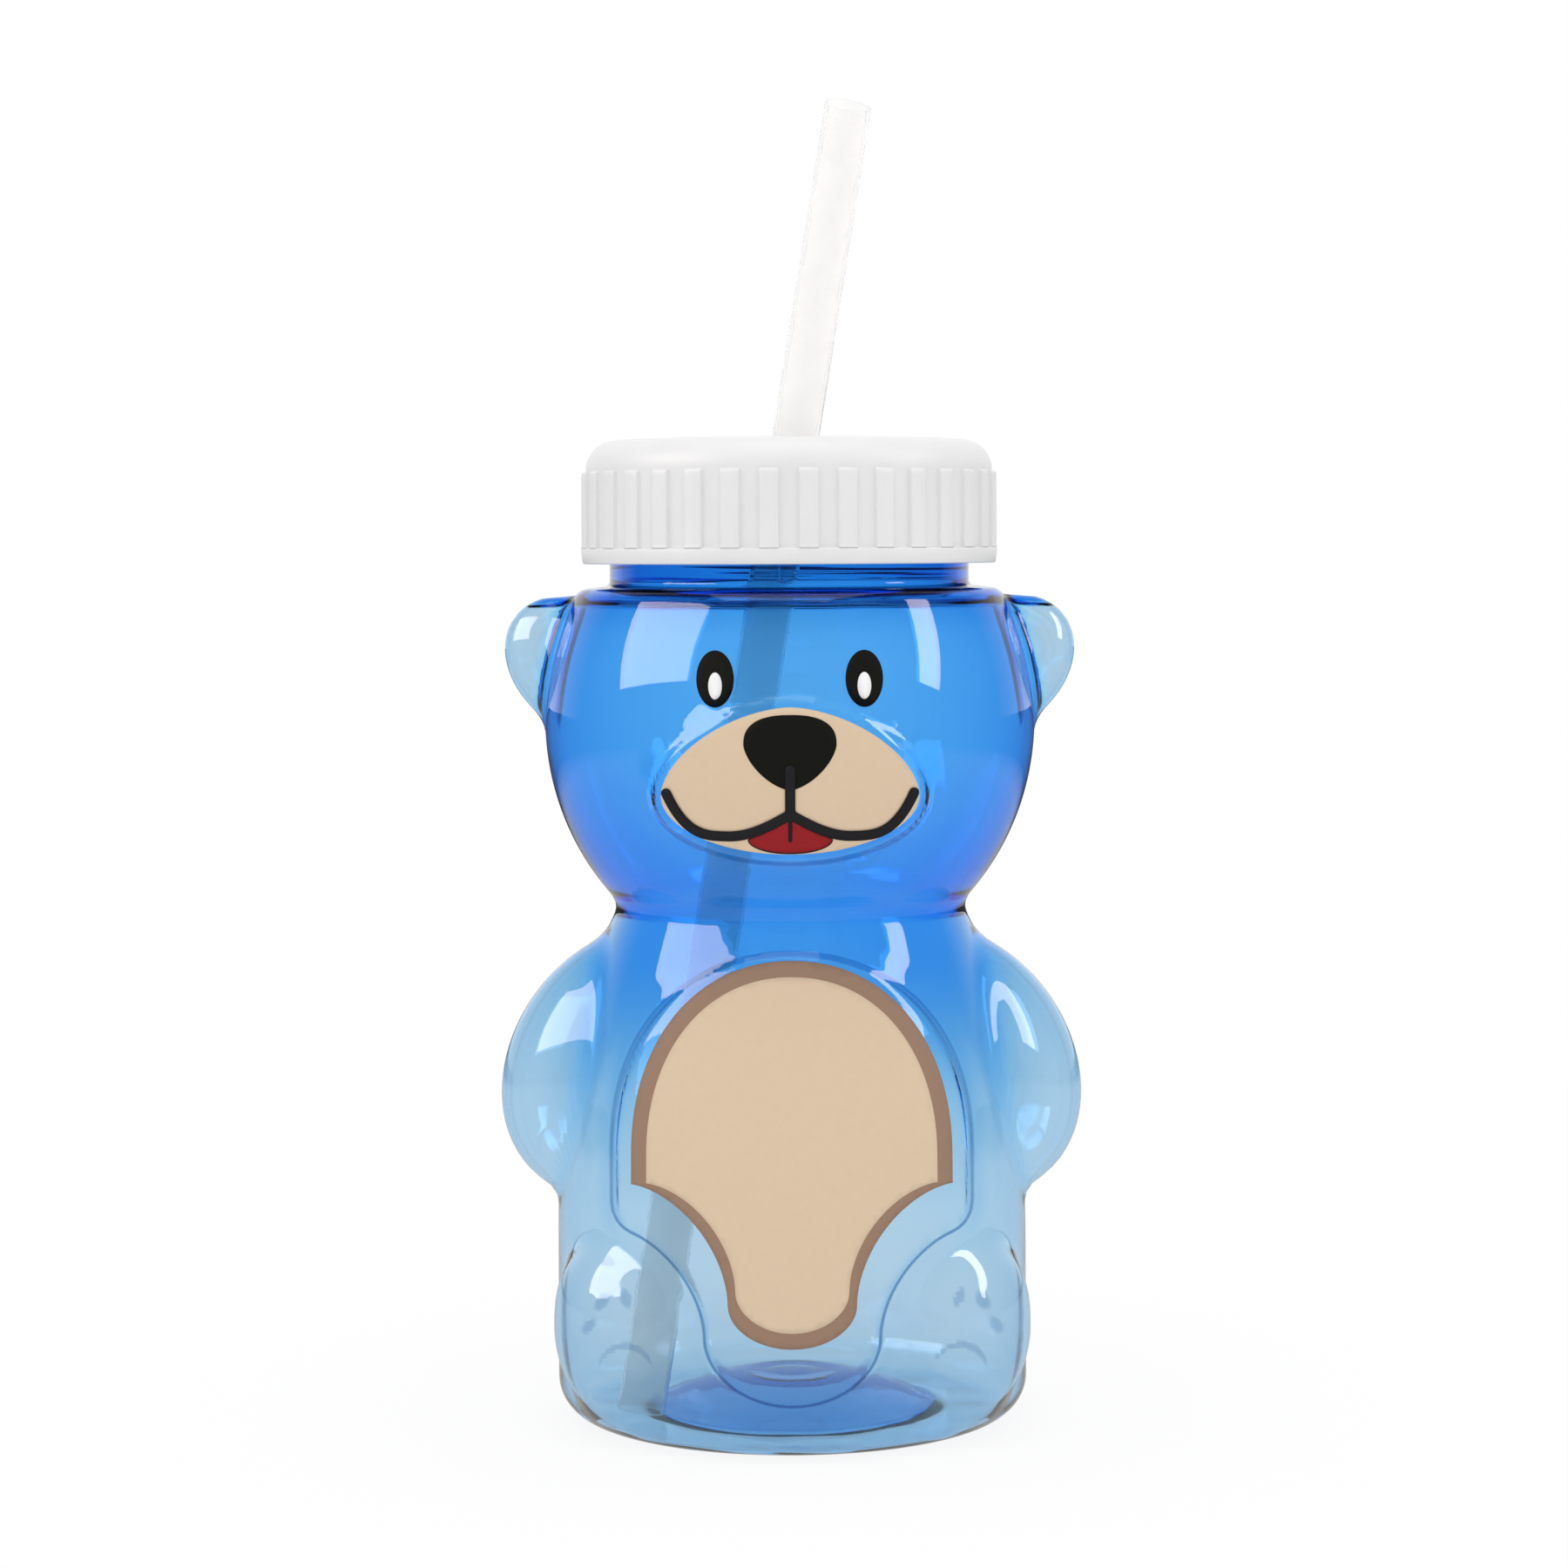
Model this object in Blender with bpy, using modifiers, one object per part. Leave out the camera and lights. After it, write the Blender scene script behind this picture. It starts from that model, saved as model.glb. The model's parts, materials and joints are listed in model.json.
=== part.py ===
"""Plastic straw bottle in the form of a sitting bear: a blown transparent shell with raised muzzle and
belly pads, a ribbed screw lid with its sealing ring, a straw that stands aslant through the lid, and
the printed face and belly as thin films. Metres, +Z up, the face looks along -Y."""

import math

import bmesh
import bpy
from mathutils import Matrix, Vector

MM = 0.001

# Blown shell: one ellipsoid of revolution for the head and one for the torso, which cross at the waist
wall = 1.3 * MM
head_radius = 37.7 * MM
head_half_height = 39.5 * MM
torso_radius = 36.0 * MM
torso_centre_height = 27.8 * MM
waist_height = 78.5 * MM
waist_radius = 26.4 * MM
waist_blend = 2.4 * MM
head_centre_to_shoulder = 20.0 * MM
shoulder_round = 1.4 * MM
shoulder_rise = 0.5 * MM
shoulder_width = 4.8 * MM
base_corner = 6.0 * MM
standing_ring_width = 8.5 * MM
push_up_height = 5.5 * MM

# Neck finish
neck_wall = 1.7 * MM
neck_height = 19.4 * MM

# Limbs: each is an ellipsoid whose first half size points out and up by its tilt
arm_half_sizes = (17.8 * MM, 15.0 * MM, 22.6 * MM)
arm_spread = 25.0 * MM
waist_to_arm = 24.5 * MM
arm_tilt = math.radians(37.5)
ear_half_sizes = (13.5 * MM, 5.5 * MM, 10.0 * MM)
ear_spread = 31.5 * MM
head_centre_to_ear = 7.8 * MM
ear_tilt = math.radians(35)
foot_half_sizes = (10.2 * MM, 13.0 * MM, 14.5 * MM)
foot_distance = 31.0 * MM
foot_lift = 2.0 * MM
foot_turn = math.radians(52)

# Raised pads of the shell
muzzle_rise = 1.5 * MM
muzzle_margin = 1.2 * MM
belly_pad_rise = 0.9 * MM
belly_pad_half_width = 26.4 * MM
belly_pad_top_rise = 29.1 * MM
belly_pad_corner_drop = 10.8 * MM
belly_pad_corner_reach = 3.6 * MM
belly_pad_flank_height = 15.0 * MM
belly_pad_lobe_half_width = 12.6 * MM
belly_pad_lobe_drop = 9.4 * MM

# Printed face, placed from the head's centre and then from the middle of the muzzle
head_centre_to_muzzle = 9.8 * MM
muzzle_half_width = 18.9 * MM
muzzle_top_rise = 13.1 * MM
muzzle_bottom_drop = 8.5 * MM
muzzle_to_nose = 7.7 * MM
nose_half_width = 6.75 * MM
nose_top_rise = 4.3 * MM
nose_bottom_drop = 6.65 * MM
muzzle_to_tongue = 6.3 * MM
tongue_half_width = 6.0 * MM
tongue_top_rise = 3.6 * MM
tongue_bottom_drop = 1.9 * MM
mouth_stroke = 1.5 * MM
mouth_half_width = 18.1 * MM
muzzle_to_mouth = 2.5 * MM
mouth_sag = 3.3 * MM
mouth_end_rise = 2.9 * MM
mouth_line_length = 6.5 * MM
head_centre_to_eye = 7.3 * MM
eye_spread = 10.85 * MM
eye_half_width = 2.75 * MM
eye_half_height = 4.15 * MM
glint_half_width = 1.0 * MM
glint_half_height = 1.95 * MM
glint_drop = 1.0 * MM

# Printed belly: a tan bib within a brown border, widest at the belly's height
belly_height = 43.8 * MM
belly_half_width = 23.7 * MM
belly_top_rise = 28.6 * MM
belly_corner_drop = 4.4 * MM
belly_flank_height = 16.4 * MM
belly_lobe_half_width = 9.4 * MM
belly_lobe_drop = 6.2 * MM
border_width = 2.3 * MM
border_lobe_width = 1.1 * MM
border_lobe_rise = 2.1 * MM
border_corner_rise = 0.4 * MM

# Print films, one layer over the next
film = 0.1 * MM
film_gap = 0.12 * MM

# Screw lid and its seal
lid_showing_neck = 3.4 * MM
thread_room = 2.3 * MM
skirt_wall = 1.3 * MM
lid_top_wall = 1.5 * MM
lid_corner = 4.5 * MM
lid_crown = 0.4 * MM
band_height = 2.4 * MM
band_rise = 0.8 * MM
rib_top_gap = 0.2 * MM
rib_width = 2.9 * MM
rib_rise = 0.7 * MM
rib_bevel = 0.25 * MM
rib_count = 34
gasket_width = 4.2 * MM
gasket_thickness = 1.2 * MM

# Straw
straw_radius = 3.65 * MM
straw_wall = 0.4 * MM
straw_length = 203.0 * MM
straw_play = 1.55 * MM
straw_azimuth = math.radians(28)

# Clearances, how far a cutter runs past what it cuts, and how near two points count as one
gap = 0.3 * MM
overrun = 5.0 * MM
merge_distance = 0.01 * MM

# Counts of facets
turn_steps = 40
lid_steps = 2 * rib_count
lid_corner_steps = 4
arc_steps = 6
head_steps = 8

# Exponents of the superellipses that the prints are made of, 2 for a plain ellipse
muzzle_top_power = 1.7
nose_top_power = 2.5
nose_bottom_power = 1.55
tongue_top_power = 1.05
bib_top_power = 2.1
bib_notch_power = 1.8
mouth_lift_power = 3.2

# Heights and radii that follow from the sizes above
head_rise_share = math.sqrt(1 - (waist_radius / head_radius) ** 2)
torso_rise_share = math.sqrt(1 - (waist_radius / torso_radius) ** 2)
head_centre_height = waist_height + head_half_height * head_rise_share
torso_half_height = (waist_height - torso_centre_height) / torso_rise_share
shoulder_height = head_centre_height + head_centre_to_shoulder
shoulder_share = math.sqrt(1 - (head_centre_to_shoulder / head_half_height) ** 2)
ring_outer_radius = torso_radius - base_corner
push_up_radius = ring_outer_radius - standing_ring_width
dome_radius = (push_up_radius**2 + push_up_height**2) / (2 * push_up_height)
dome_centre_height = push_up_height - dome_radius
muzzle_height = head_centre_height - head_centre_to_muzzle
mouth_height = muzzle_height - muzzle_to_mouth
neck_radius = head_radius * shoulder_share - shoulder_width
neck_foot_height = shoulder_height + shoulder_rise
neck_top_height = neck_foot_height + neck_height
lid_bottom_height = neck_foot_height + lid_showing_neck
gasket_height = neck_top_height + gap
lid_underside_height = gasket_height + gasket_thickness + gap
lid_top_height = lid_underside_height + lid_top_wall
skirt_inner_radius = neck_radius + thread_room
skirt_radius = skirt_inner_radius + skirt_wall
band_top_height = lid_bottom_height + band_height
lid_corner_height = lid_top_height - lid_crown - lid_corner
straw_hole_radius = straw_radius + straw_play

for old in list(bpy.data.objects):
    bpy.data.objects.remove(old, do_unlink=True)

parts = bpy.data.collections.new("plastic_straw_bottle")
cutters = bpy.data.collections.new("cutters")


def plastic(name, colour, roughness, transmission=0.0):
    """A Principled material of one colour, given as sRGB numbers from 0 to 255."""
    material = bpy.data.materials.new(name)
    material.use_nodes = True
    shader = material.node_tree.nodes["Principled BSDF"]
    linear = [(channel / 255) ** 2.2 for channel in colour]
    shader.inputs["Base Color"].default_value = (*linear, 1)
    shader.inputs["Roughness"].default_value = roughness
    shader.inputs["Metallic"].default_value = 0
    shader.inputs["Transmission Weight"].default_value = transmission
    material.diffuse_color = (*linear, 1)
    return material


def place(obj, collection, material=None):
    """Links an object, as a piece if it has a material and as a cutter if not."""
    collection.objects.link(obj)
    if material is None:
        obj.hide_render = True
        obj.display_type = "WIRE"
    else:
        obj.data.materials.clear()
        obj.data.materials.append(material)
    return obj


def boolean(obj, operation, other):
    """Adds an exact Boolean with one object or with a whole collection."""
    modifier = obj.modifiers.new(operation.lower(), "BOOLEAN")
    modifier.operation = operation
    modifier.solver = "EXACT"
    if isinstance(other, bpy.types.Collection):
        modifier.operand_type = "COLLECTION"
        modifier.collection = other
    else:
        modifier.object = other


def turned(name, profile, steps, collection, material=None, closed=False):
    """A Screw round Z of a profile of (radius, height) points, which runs down its outer side."""
    edges = [(i, i + 1) for i in range(len(profile) - 1)]
    if closed:
        edges.append((len(profile) - 1, 0))
    mesh = bpy.data.meshes.new(name)
    mesh.from_pydata([(radius, 0, height) for radius, height in profile], edges, [])
    obj = place(bpy.data.objects.new(name, mesh), collection, material)
    screw = obj.modifiers.new("turn", "SCREW")
    screw.steps = steps
    screw.render_steps = steps
    screw.use_merge_vertices = True
    screw.merge_threshold = merge_distance
    screw.use_smooth_shade = True
    return obj


def ellipsoid(name, centre, half_sizes, turn, collection):
    """A sphere scaled to its half sizes and then turned by a rotation matrix."""
    mesh = bpy.data.meshes.new(name)
    sphere = bmesh.new()
    bmesh.ops.create_uvsphere(sphere, u_segments=20, v_segments=12, radius=1)
    bmesh.ops.scale(sphere, vec=half_sizes, verts=sphere.verts)
    bmesh.ops.rotate(sphere, matrix=turn, verts=sphere.verts)
    sphere.to_mesh(mesh)
    sphere.free()
    mesh.shade_smooth()
    obj = place(bpy.data.objects.new(name, mesh), collection)
    obj.location = centre
    return obj


def superellipse(centre, half_sizes, power, start, end, steps=arc_steps):
    """Points along part of a superellipse, by its angle from +X towards +Z in degrees."""
    points = []
    for i in range(steps + 1):
        angle = math.radians(start + (end - start) * i / steps)
        across, up = math.cos(angle), math.sin(angle)
        x = math.copysign(abs(across) ** (2 / power), across)
        z = math.copysign(abs(up) ** (2 / power), up)
        points.append((centre[0] + half_sizes[0] * x, centre[1] + half_sizes[1] * z))
    return points


def mirrored(half):
    """A closed outline from its right half, which runs from the top to the bottom."""
    return half + [(-x, z) for x, z in reversed(half[1:-1])]


def oval(centre, half_width, rise, drop, top_power=2.0, bottom_power=2.0):
    """An outline of two half superellipses that meet at the centre's height."""
    top = superellipse((0, centre[1]), (half_width, rise), top_power, 90, 0)
    bottom = superellipse((0, centre[1]), (half_width, drop), bottom_power, 0, -90)
    return [(centre[0] + x, z) for x, z in mirrored(top + bottom[1:])]


def bib(half_width, top_rise, corner_drop, corner_reach, flank_height, lobe_half_width, lobe_drop):
    """The belly's outline: a domed top, a corner at each side, a hollow flank and a round lobe below."""
    corner_height = belly_height - corner_drop
    lobe_height = corner_height - flank_height
    top = superellipse((0, belly_height), (half_width, top_rise), bib_top_power, 90, 0)
    flank_size = (half_width - lobe_half_width, flank_height)
    start = 90 - math.degrees(math.asin((corner_reach / flank_size[0]) ** (bib_notch_power / 2)))
    flank = superellipse((0, lobe_height), flank_size, bib_notch_power, start, 0)
    flank = [(half_width - x, z) for x, z in flank]
    corner = [(half_width, corner_height)]
    if corner_reach:
        above = Vector((half_width, corner_height + corner_reach))
        corner = curve_corner(above, Vector(corner[0]), Vector(flank[0]))[:-1]
    lobe = superellipse((0, lobe_height), (lobe_half_width, lobe_drop), 2, 0, -90)
    flank = flank[0 if corner_reach else 1:]
    return mirrored(top + corner + flank + lobe[1:])


def curve_corner(start, corner, end, steps=3):
    """Points that round a corner, from start to end."""
    points = []
    for i in range(steps + 1):
        t = i / steps
        point = start * (1 - t) ** 2 + corner * 2 * t * (1 - t) + end * t**2
        points.append((point.x, point.y))
    return points


def prism(name, outline, collection, material=None):
    """A flat outline in X and Z, carried through the front of the shell along Y."""
    curve = bpy.data.curves.new(name, "CURVE")
    curve.dimensions = "2D"
    curve.fill_mode = "BOTH"
    front, back = head_radius + overrun, wall + overrun
    curve.extrude = (front - back) / 2
    spline = curve.splines.new("POLY")
    spline.points.add(len(outline) - 1)
    for point, (x, z) in zip(spline.points, outline):
        point.co = (x, z, 0, 1)
    spline.use_cyclic_u = True
    guide = bpy.data.objects.new(name + "_guide", curve)
    guide.rotation_euler = (math.pi / 2, 0, 0)
    guide.location = (0, -(front + back) / 2, 0)
    bpy.context.scene.collection.objects.link(guide)
    bpy.context.view_layer.update()
    solid = guide.evaluated_get(bpy.context.evaluated_depsgraph_get())
    mesh = bpy.data.meshes.new_from_object(solid)
    mesh.name = name
    welded = bmesh.new()
    welded.from_mesh(mesh)
    bmesh.ops.remove_doubles(welded, verts=welded.verts, dist=merge_distance)
    bmesh.ops.recalc_face_normals(welded, faces=welded.faces)
    welded.to_mesh(mesh)
    welded.free()
    obj = place(bpy.data.objects.new(name, mesh), collection, material)
    obj.matrix_world = guide.matrix_world
    bpy.data.objects.remove(guide, do_unlink=True)
    return obj


def head_radius_at(height, grow):
    share = (height - head_centre_height) / (head_half_height + grow)
    return (head_radius + grow) * math.sqrt(max(0, 1 - share**2))


def torso_radius_at(height, grow):
    share = max(0, (height - torso_centre_height) / (torso_half_height + grow))
    return (torso_radius + grow) * math.sqrt(max(0, 1 - share**2))


def shell_radius_at(height, grow):
    """The larger of head and torso, blended where they meet at the waist."""
    head, torso = head_radius_at(height, grow), torso_radius_at(height, grow)
    near = max(0, 1 - abs(head - torso) / waist_blend)
    return max(head, torso) + near**2 * waist_blend / 4


def shell_profile(grow, neck, top):
    """The shell's outline from its neck's top down to the middle of its base, grown by a distance."""
    shoulder = shoulder_height + grow
    corner = Vector((shell_radius_at(shoulder, grow), shoulder))
    down = shoulder - shoulder_round
    below = Vector((shell_radius_at(down, grow), down))
    rise = shoulder_rise * shoulder_round / (corner.x - neck)
    inward = Vector((corner.x - shoulder_round, shoulder + rise))
    points = [(0, top), (neck, top), (neck, neck_foot_height + grow)]
    points += curve_corner(inward, corner, below)
    heights = [waist_height + waist_blend / 2, waist_height, waist_height - waist_blend / 2]
    head_top = math.asin((down - head_centre_height) / head_half_height)
    head_low = math.asin((waist_height + 1.5 * waist_blend - head_centre_height) / head_half_height)
    head = [head_top + (head_low - head_top) * i / head_steps for i in range(1, head_steps + 1)]
    heights = [head_centre_height + head_half_height * math.sin(angle) for angle in head] + heights
    torso_top = math.asin((waist_height - 1.5 * waist_blend - torso_centre_height) / torso_half_height)
    torso = [torso_top * (1 - i / arc_steps) for i in range(arc_steps + 1)]
    heights += [torso_centre_height + torso_half_height * math.sin(angle) for angle in torso]
    points += [(shell_radius_at(height, grow), height) for height in heights]
    points += superellipse((ring_outer_radius, base_corner), (base_corner + grow,) * 2, 2, 0, -90)
    dome = dome_radius - grow
    rim = math.degrees(math.asin((-grow - dome_centre_height) / dome))
    return points + superellipse((0, dome_centre_height), (dome, dome), 2, rim, 90)


def skin(name, grow, collection):
    """The turned shell, grown by a distance, up to its neck."""
    return turned(name, shell_profile(grow, neck_radius, neck_top_height), turn_steps, collection)


def pad(name, outline, rise, grow, collection):
    """A raised area of the shell within an outline."""
    raised = prism(name, outline, collection)
    boolean(raised, "INTERSECT", skin(name + "_skin", grow + rise, cutters))
    return raised


def pads(name, grow, collection):
    """The muzzle pad and the belly pad, grown by a distance."""
    margin = muzzle_margin + grow
    muzzle = oval(
        (0, muzzle_height),
        muzzle_half_width + margin,
        muzzle_top_rise + margin,
        muzzle_bottom_drop + margin,
        muzzle_top_power,
    )
    belly = bib(
        belly_pad_half_width + grow,
        belly_pad_top_rise + grow,
        belly_pad_corner_drop + grow,
        belly_pad_corner_reach,
        belly_pad_flank_height - grow,
        belly_pad_lobe_half_width + grow,
        belly_pad_lobe_drop + grow,
    )
    pad(name + "_muzzle_pad", muzzle, muzzle_rise, grow, collection)
    pad(name + "_belly_pad", belly, belly_pad_rise, grow, collection)


def limbs(name, grow, collection):
    """Arms, ears and feet as ellipsoids on both sides, grown by a distance."""
    for side, label in ((1, "right"), (-1, "left")):
        for limb, half_sizes, spread, height, tilt in (
            ("arm", arm_half_sizes, arm_spread, waist_height - waist_to_arm, arm_tilt),
            ("ear", ear_half_sizes, ear_spread, head_centre_height + head_centre_to_ear, ear_tilt),
        ):
            turn = Matrix.Rotation(-tilt * side, 3, "Y")
            grown = [size + grow for size in half_sizes]
            centre = (side * spread, 0, height)
            ellipsoid(f"{name}_{limb}_{label}", centre, grown, turn, collection)
        turn = Matrix.Rotation(side * foot_turn - math.pi / 2, 3, "Z")
        grown = [size + grow for size in foot_half_sizes]
        across, forward = foot_distance * math.sin(foot_turn), foot_distance * math.cos(foot_turn)
        centre = (side * across, -forward, foot_half_sizes[2] + foot_lift)
        ellipsoid(f"{name}_foot_{label}", centre, grown, turn, collection)


def bear_form(name, grow, neck, top, collection, material=None):
    """The whole outer form of the shell, grown by a distance: the solid itself, or its hollow."""
    features = bpy.data.collections.new(name + "_features")
    cutters.children.link(features)
    form = turned(name, shell_profile(grow, neck, top), turn_steps, collection, material)
    limbs(name, grow, features)
    pads(name, grow, features)
    boolean(form, "UNION", features)
    return form


def bottle_body():
    blue = plastic("blue_clear_plastic", (60, 150, 235), 0.05, 0.9)
    body = bear_form("bottle_body", 0, neck_radius, neck_top_height, parts, blue)
    hollow_top = neck_top_height + overrun
    hollow = bear_form("hollow", -wall, neck_radius - neck_wall, hollow_top, cutters)
    boolean(body, "DIFFERENCE", hollow)


def film_layer(level):
    """The two skins between which the prints of this level lie."""
    inside = gap + level * (film + film_gap)
    skins = []
    for name, grow in (("under", inside), ("over", inside + film)):
        label = f"print_{name}_{level}"
        features = bpy.data.collections.new(label + "_features")
        cutters.children.link(features)
        form = skin(label, grow, cutters)
        pads(label, grow, features)
        boolean(form, "UNION", features)
        skins.append(form)
    return skins


def printed(name, outline, skins, material):
    """A thin film of one colour that follows the shell's front."""
    piece = prism(name, outline, parts, material)
    boolean(piece, "INTERSECT", skins[1])
    boolean(piece, "DIFFERENCE", skins[0])


def face_and_belly_prints():
    layers = [film_layer(level) for level in range(3)]
    tan = plastic("tan_print", (220, 196, 168), 0.45)
    brown = plastic("brown_print", (155, 126, 107), 0.45)
    black = plastic("black_print", (14, 15, 14), 0.4)
    dark = plastic("dark_print", (38, 36, 38), 0.4)
    red = plastic("red_print", (151, 37, 40), 0.45)
    white = plastic("white_print", (245, 245, 245), 0.4)
    muzzle = oval(
        (0, muzzle_height), muzzle_half_width, muzzle_top_rise, muzzle_bottom_drop, muzzle_top_power
    )
    printed("muzzle_print", muzzle, layers[0], tan)
    nose = oval(
        (0, muzzle_height + muzzle_to_nose),
        nose_half_width,
        nose_top_rise,
        nose_bottom_drop,
        nose_top_power,
        nose_bottom_power,
    )
    printed("nose_print", nose, layers[1], black)
    tongue = oval(
        (0, muzzle_height - muzzle_to_tongue),
        tongue_half_width,
        tongue_top_rise,
        tongue_bottom_drop,
        tongue_top_power,
    )
    printed("tongue_print", tongue, layers[1], red)
    printed("mouth_print", mouth_outline(), layers[2], dark)
    for side, label in ((1, "right"), (-1, "left")):
        x, height = side * eye_spread, head_centre_height + head_centre_to_eye
        eye = oval((x, height), eye_half_width, eye_half_height, eye_half_height)
        glint = oval((x, height - glint_drop), glint_half_width, glint_half_height, glint_half_height)
        printed("eye_print_" + label, eye, layers[0], black)
        printed("eye_glint_" + label, glint, layers[1], white)
    border = bib(
        belly_half_width,
        belly_top_rise,
        belly_corner_drop,
        0,
        belly_flank_height,
        belly_lobe_half_width,
        belly_lobe_drop,
    )
    printed("belly_border_print", border, layers[0], brown)
    field = bib(
        belly_half_width - border_width,
        belly_top_rise - border_width,
        belly_corner_drop - border_corner_rise,
        0,
        belly_flank_height + border_corner_rise - border_lobe_rise,
        belly_lobe_half_width - border_lobe_width,
        belly_lobe_drop + border_lobe_rise - border_width,
    )
    printed("belly_print", field, layers[1], tan)


def mouth_outline():
    """One line with round ends: two sagging arcs that meet below the nose, and the line up to the nose."""
    reach = mouth_stroke / 2
    steps = 2 * arc_steps
    path = []
    for i in range(steps + 1):
        share = i / steps
        lift = (mouth_sag + mouth_end_rise) * max(0, 2 * share - 1) ** mouth_lift_power
        sag = mouth_sag * math.sin(math.pi / 2 * min(1, 2 * share))
        path.append(Vector((mouth_half_width * share, mouth_height - sag + lift)))
    ahead, behind = path[1:] + path[-1:], path[:1] + path[:-1]
    along = [(after - before).normalized() for after, before in zip(ahead, behind)]
    sides = [Vector((-direction.y, direction.x)) * reach for direction in along]
    above = [point + side for point, side in zip(path, sides)]
    below = [point - side for point, side in zip(path, sides)]
    fork = above[0].lerp(above[1], (reach - above[0].x) / (above[1].x - above[0].x))
    turns = [Matrix.Rotation(-math.pi * i / arc_steps, 2) for i in range(1, arc_steps)]
    end = [path[-1] + turn @ sides[-1] for turn in turns]
    line_end = superellipse((0, mouth_height + mouth_line_length), (reach, reach), 2, 90, 0)
    middle = (0, mouth_height - reach / along[0].x)
    edge = [fork] + above[1:] + end + below[:0:-1]
    return mirrored(line_end + [tuple(point) for point in edge] + [middle])


def lid_gasket():
    white = plastic("soft_white_seal", (235, 235, 232), 0.6)
    outer, inner = neck_radius + thread_room / 2, neck_radius + thread_room / 2 - gasket_width
    top = gasket_height + gasket_thickness
    profile = [(outer, top), (outer, gasket_height), (inner, gasket_height), (inner, top)]
    turned("lid_gasket", profile, turn_steps, parts, white, closed=True)


def screw_lid():
    white = plastic("white_plastic", (241, 241, 241), 0.25)
    corner_centre = (skirt_radius - lid_corner, lid_corner_height)
    outside = [(straw_hole_radius, lid_top_height)]
    outside += superellipse(corner_centre, (lid_corner, lid_corner), 2, 90, 0, lid_corner_steps)
    band = skirt_radius + band_rise
    outside += [(skirt_radius, band_top_height), (band, band_top_height), (band, lid_bottom_height)]
    inside = [(skirt_inner_radius, lid_bottom_height), (skirt_inner_radius, lid_underside_height)]
    inside += [(straw_hole_radius, lid_underside_height)]
    lid = turned("screw_lid", outside + inside, lid_steps, parts, white, closed=True)
    boolean(lid, "UNION", grip_ribs())


def grip_ribs():
    """One upright rib, repeated round the lid's axis and rooted in the skirt and the band."""
    mesh = bpy.data.meshes.new("grip_ribs")
    block = bmesh.new()
    bmesh.ops.create_cube(block, size=1)
    depth = rib_rise + skirt_wall / 2
    bottom = band_top_height - band_height / 2
    height = lid_corner_height - rib_top_gap - bottom
    bmesh.ops.scale(block, vec=(rib_width, depth, height), verts=block.verts)
    block.to_mesh(mesh)
    block.free()
    ribs = place(bpy.data.objects.new("grip_ribs", mesh), cutters)
    middle = skirt_radius + rib_rise - depth / 2
    mesh.transform(Matrix.Translation((0, -middle, bottom + height / 2)))
    mesh.transform(Matrix.Rotation(math.pi / rib_count, 4, "Z"))
    bevel = ribs.modifiers.new("soften", "BEVEL")
    bevel.width = rib_bevel
    bevel.segments = 1
    bevel.use_clamp_overlap = True
    step = bpy.data.objects.new("rib_step", None)
    step.rotation_euler = (0, 0, math.tau / rib_count)
    cutters.objects.link(step)
    array = ribs.modifiers.new("round", "ARRAY")
    array.count = rib_count
    array.use_relative_offset = False
    array.use_object_offset = True
    array.offset_object = step
    return ribs


def floor_height_at(radius):
    """The height of the bottle's floor inside: flat over the standing ring, and domed within it."""
    dome = dome_radius + wall
    return max(wall, dome_centre_height + math.sqrt(dome**2 - min(radius, dome) ** 2))


def drinking_straw():
    """An open tube: its foot stands beside the base's dome and it leans on the rim of the lid's hole."""
    foot_reach = ring_outer_radius - straw_radius - gap
    lid_middle = lid_top_height - lid_top_wall / 2
    lean = 0.0
    for _ in range(10):
        foot_height = floor_height_at(foot_reach - straw_radius) + gap + straw_radius * math.sin(lean)
        half_span = straw_radius / math.cos(lean) + lid_top_wall / 2 * math.tan(lean)
        slack = straw_hole_radius - gap - half_span
        lean = math.atan((foot_reach + slack) / (lid_middle - foot_height))
    white = plastic("white_straw_plastic", (250, 249, 247), 0.35)
    bore = straw_radius - straw_wall
    profile = [(straw_radius, straw_length), (straw_radius, 0), (bore, 0), (bore, straw_length)]
    straw = turned("drinking_straw", profile, turn_steps // 2, parts, white, closed=True)
    across, forward = math.cos(straw_azimuth), math.sin(straw_azimuth)
    straw.location = (-foot_reach * across, -foot_reach * forward, foot_height)
    straw.rotation_euler = (0, lean, straw_azimuth)


bottle_body()
face_and_belly_prints()
lid_gasket()
screw_lid()
drinking_straw()

# The collections join the scene last, so that each outline above is made without running the Booleans
bpy.context.scene.collection.children.link(parts)
bpy.context.scene.collection.children.link(cutters)
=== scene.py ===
"""Looks of the plastic straw bottle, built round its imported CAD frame.

The shell, the lid, the straw and the printed films are made here as finer pieces that replace
their CAD solids, and the sealing ring keeps its solid. Sizes are in millimetres until a mesh is
made, and those of the stage are in metres."""

import json
import math

import bpy
import numpy as np
from mathutils import Matrix, Vector
from mathutils.geometry import delaunay_2d_cdt


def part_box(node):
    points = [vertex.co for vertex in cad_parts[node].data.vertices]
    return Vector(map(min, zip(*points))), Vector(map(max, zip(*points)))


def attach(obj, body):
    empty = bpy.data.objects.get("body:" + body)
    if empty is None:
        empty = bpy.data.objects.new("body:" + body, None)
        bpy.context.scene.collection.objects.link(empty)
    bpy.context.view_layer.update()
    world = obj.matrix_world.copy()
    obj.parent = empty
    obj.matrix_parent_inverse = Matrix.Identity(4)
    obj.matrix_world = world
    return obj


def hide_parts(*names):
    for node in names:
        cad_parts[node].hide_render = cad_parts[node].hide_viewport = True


MM = 0.001
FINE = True

# Blown shell, as in the CAD model
WALL = 1.3
HEAD_RADIUS = 37.7
HEAD_HALF_HEIGHT = 39.5
TORSO_RADIUS = 36.0
TORSO_CENTRE = 27.8
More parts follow.
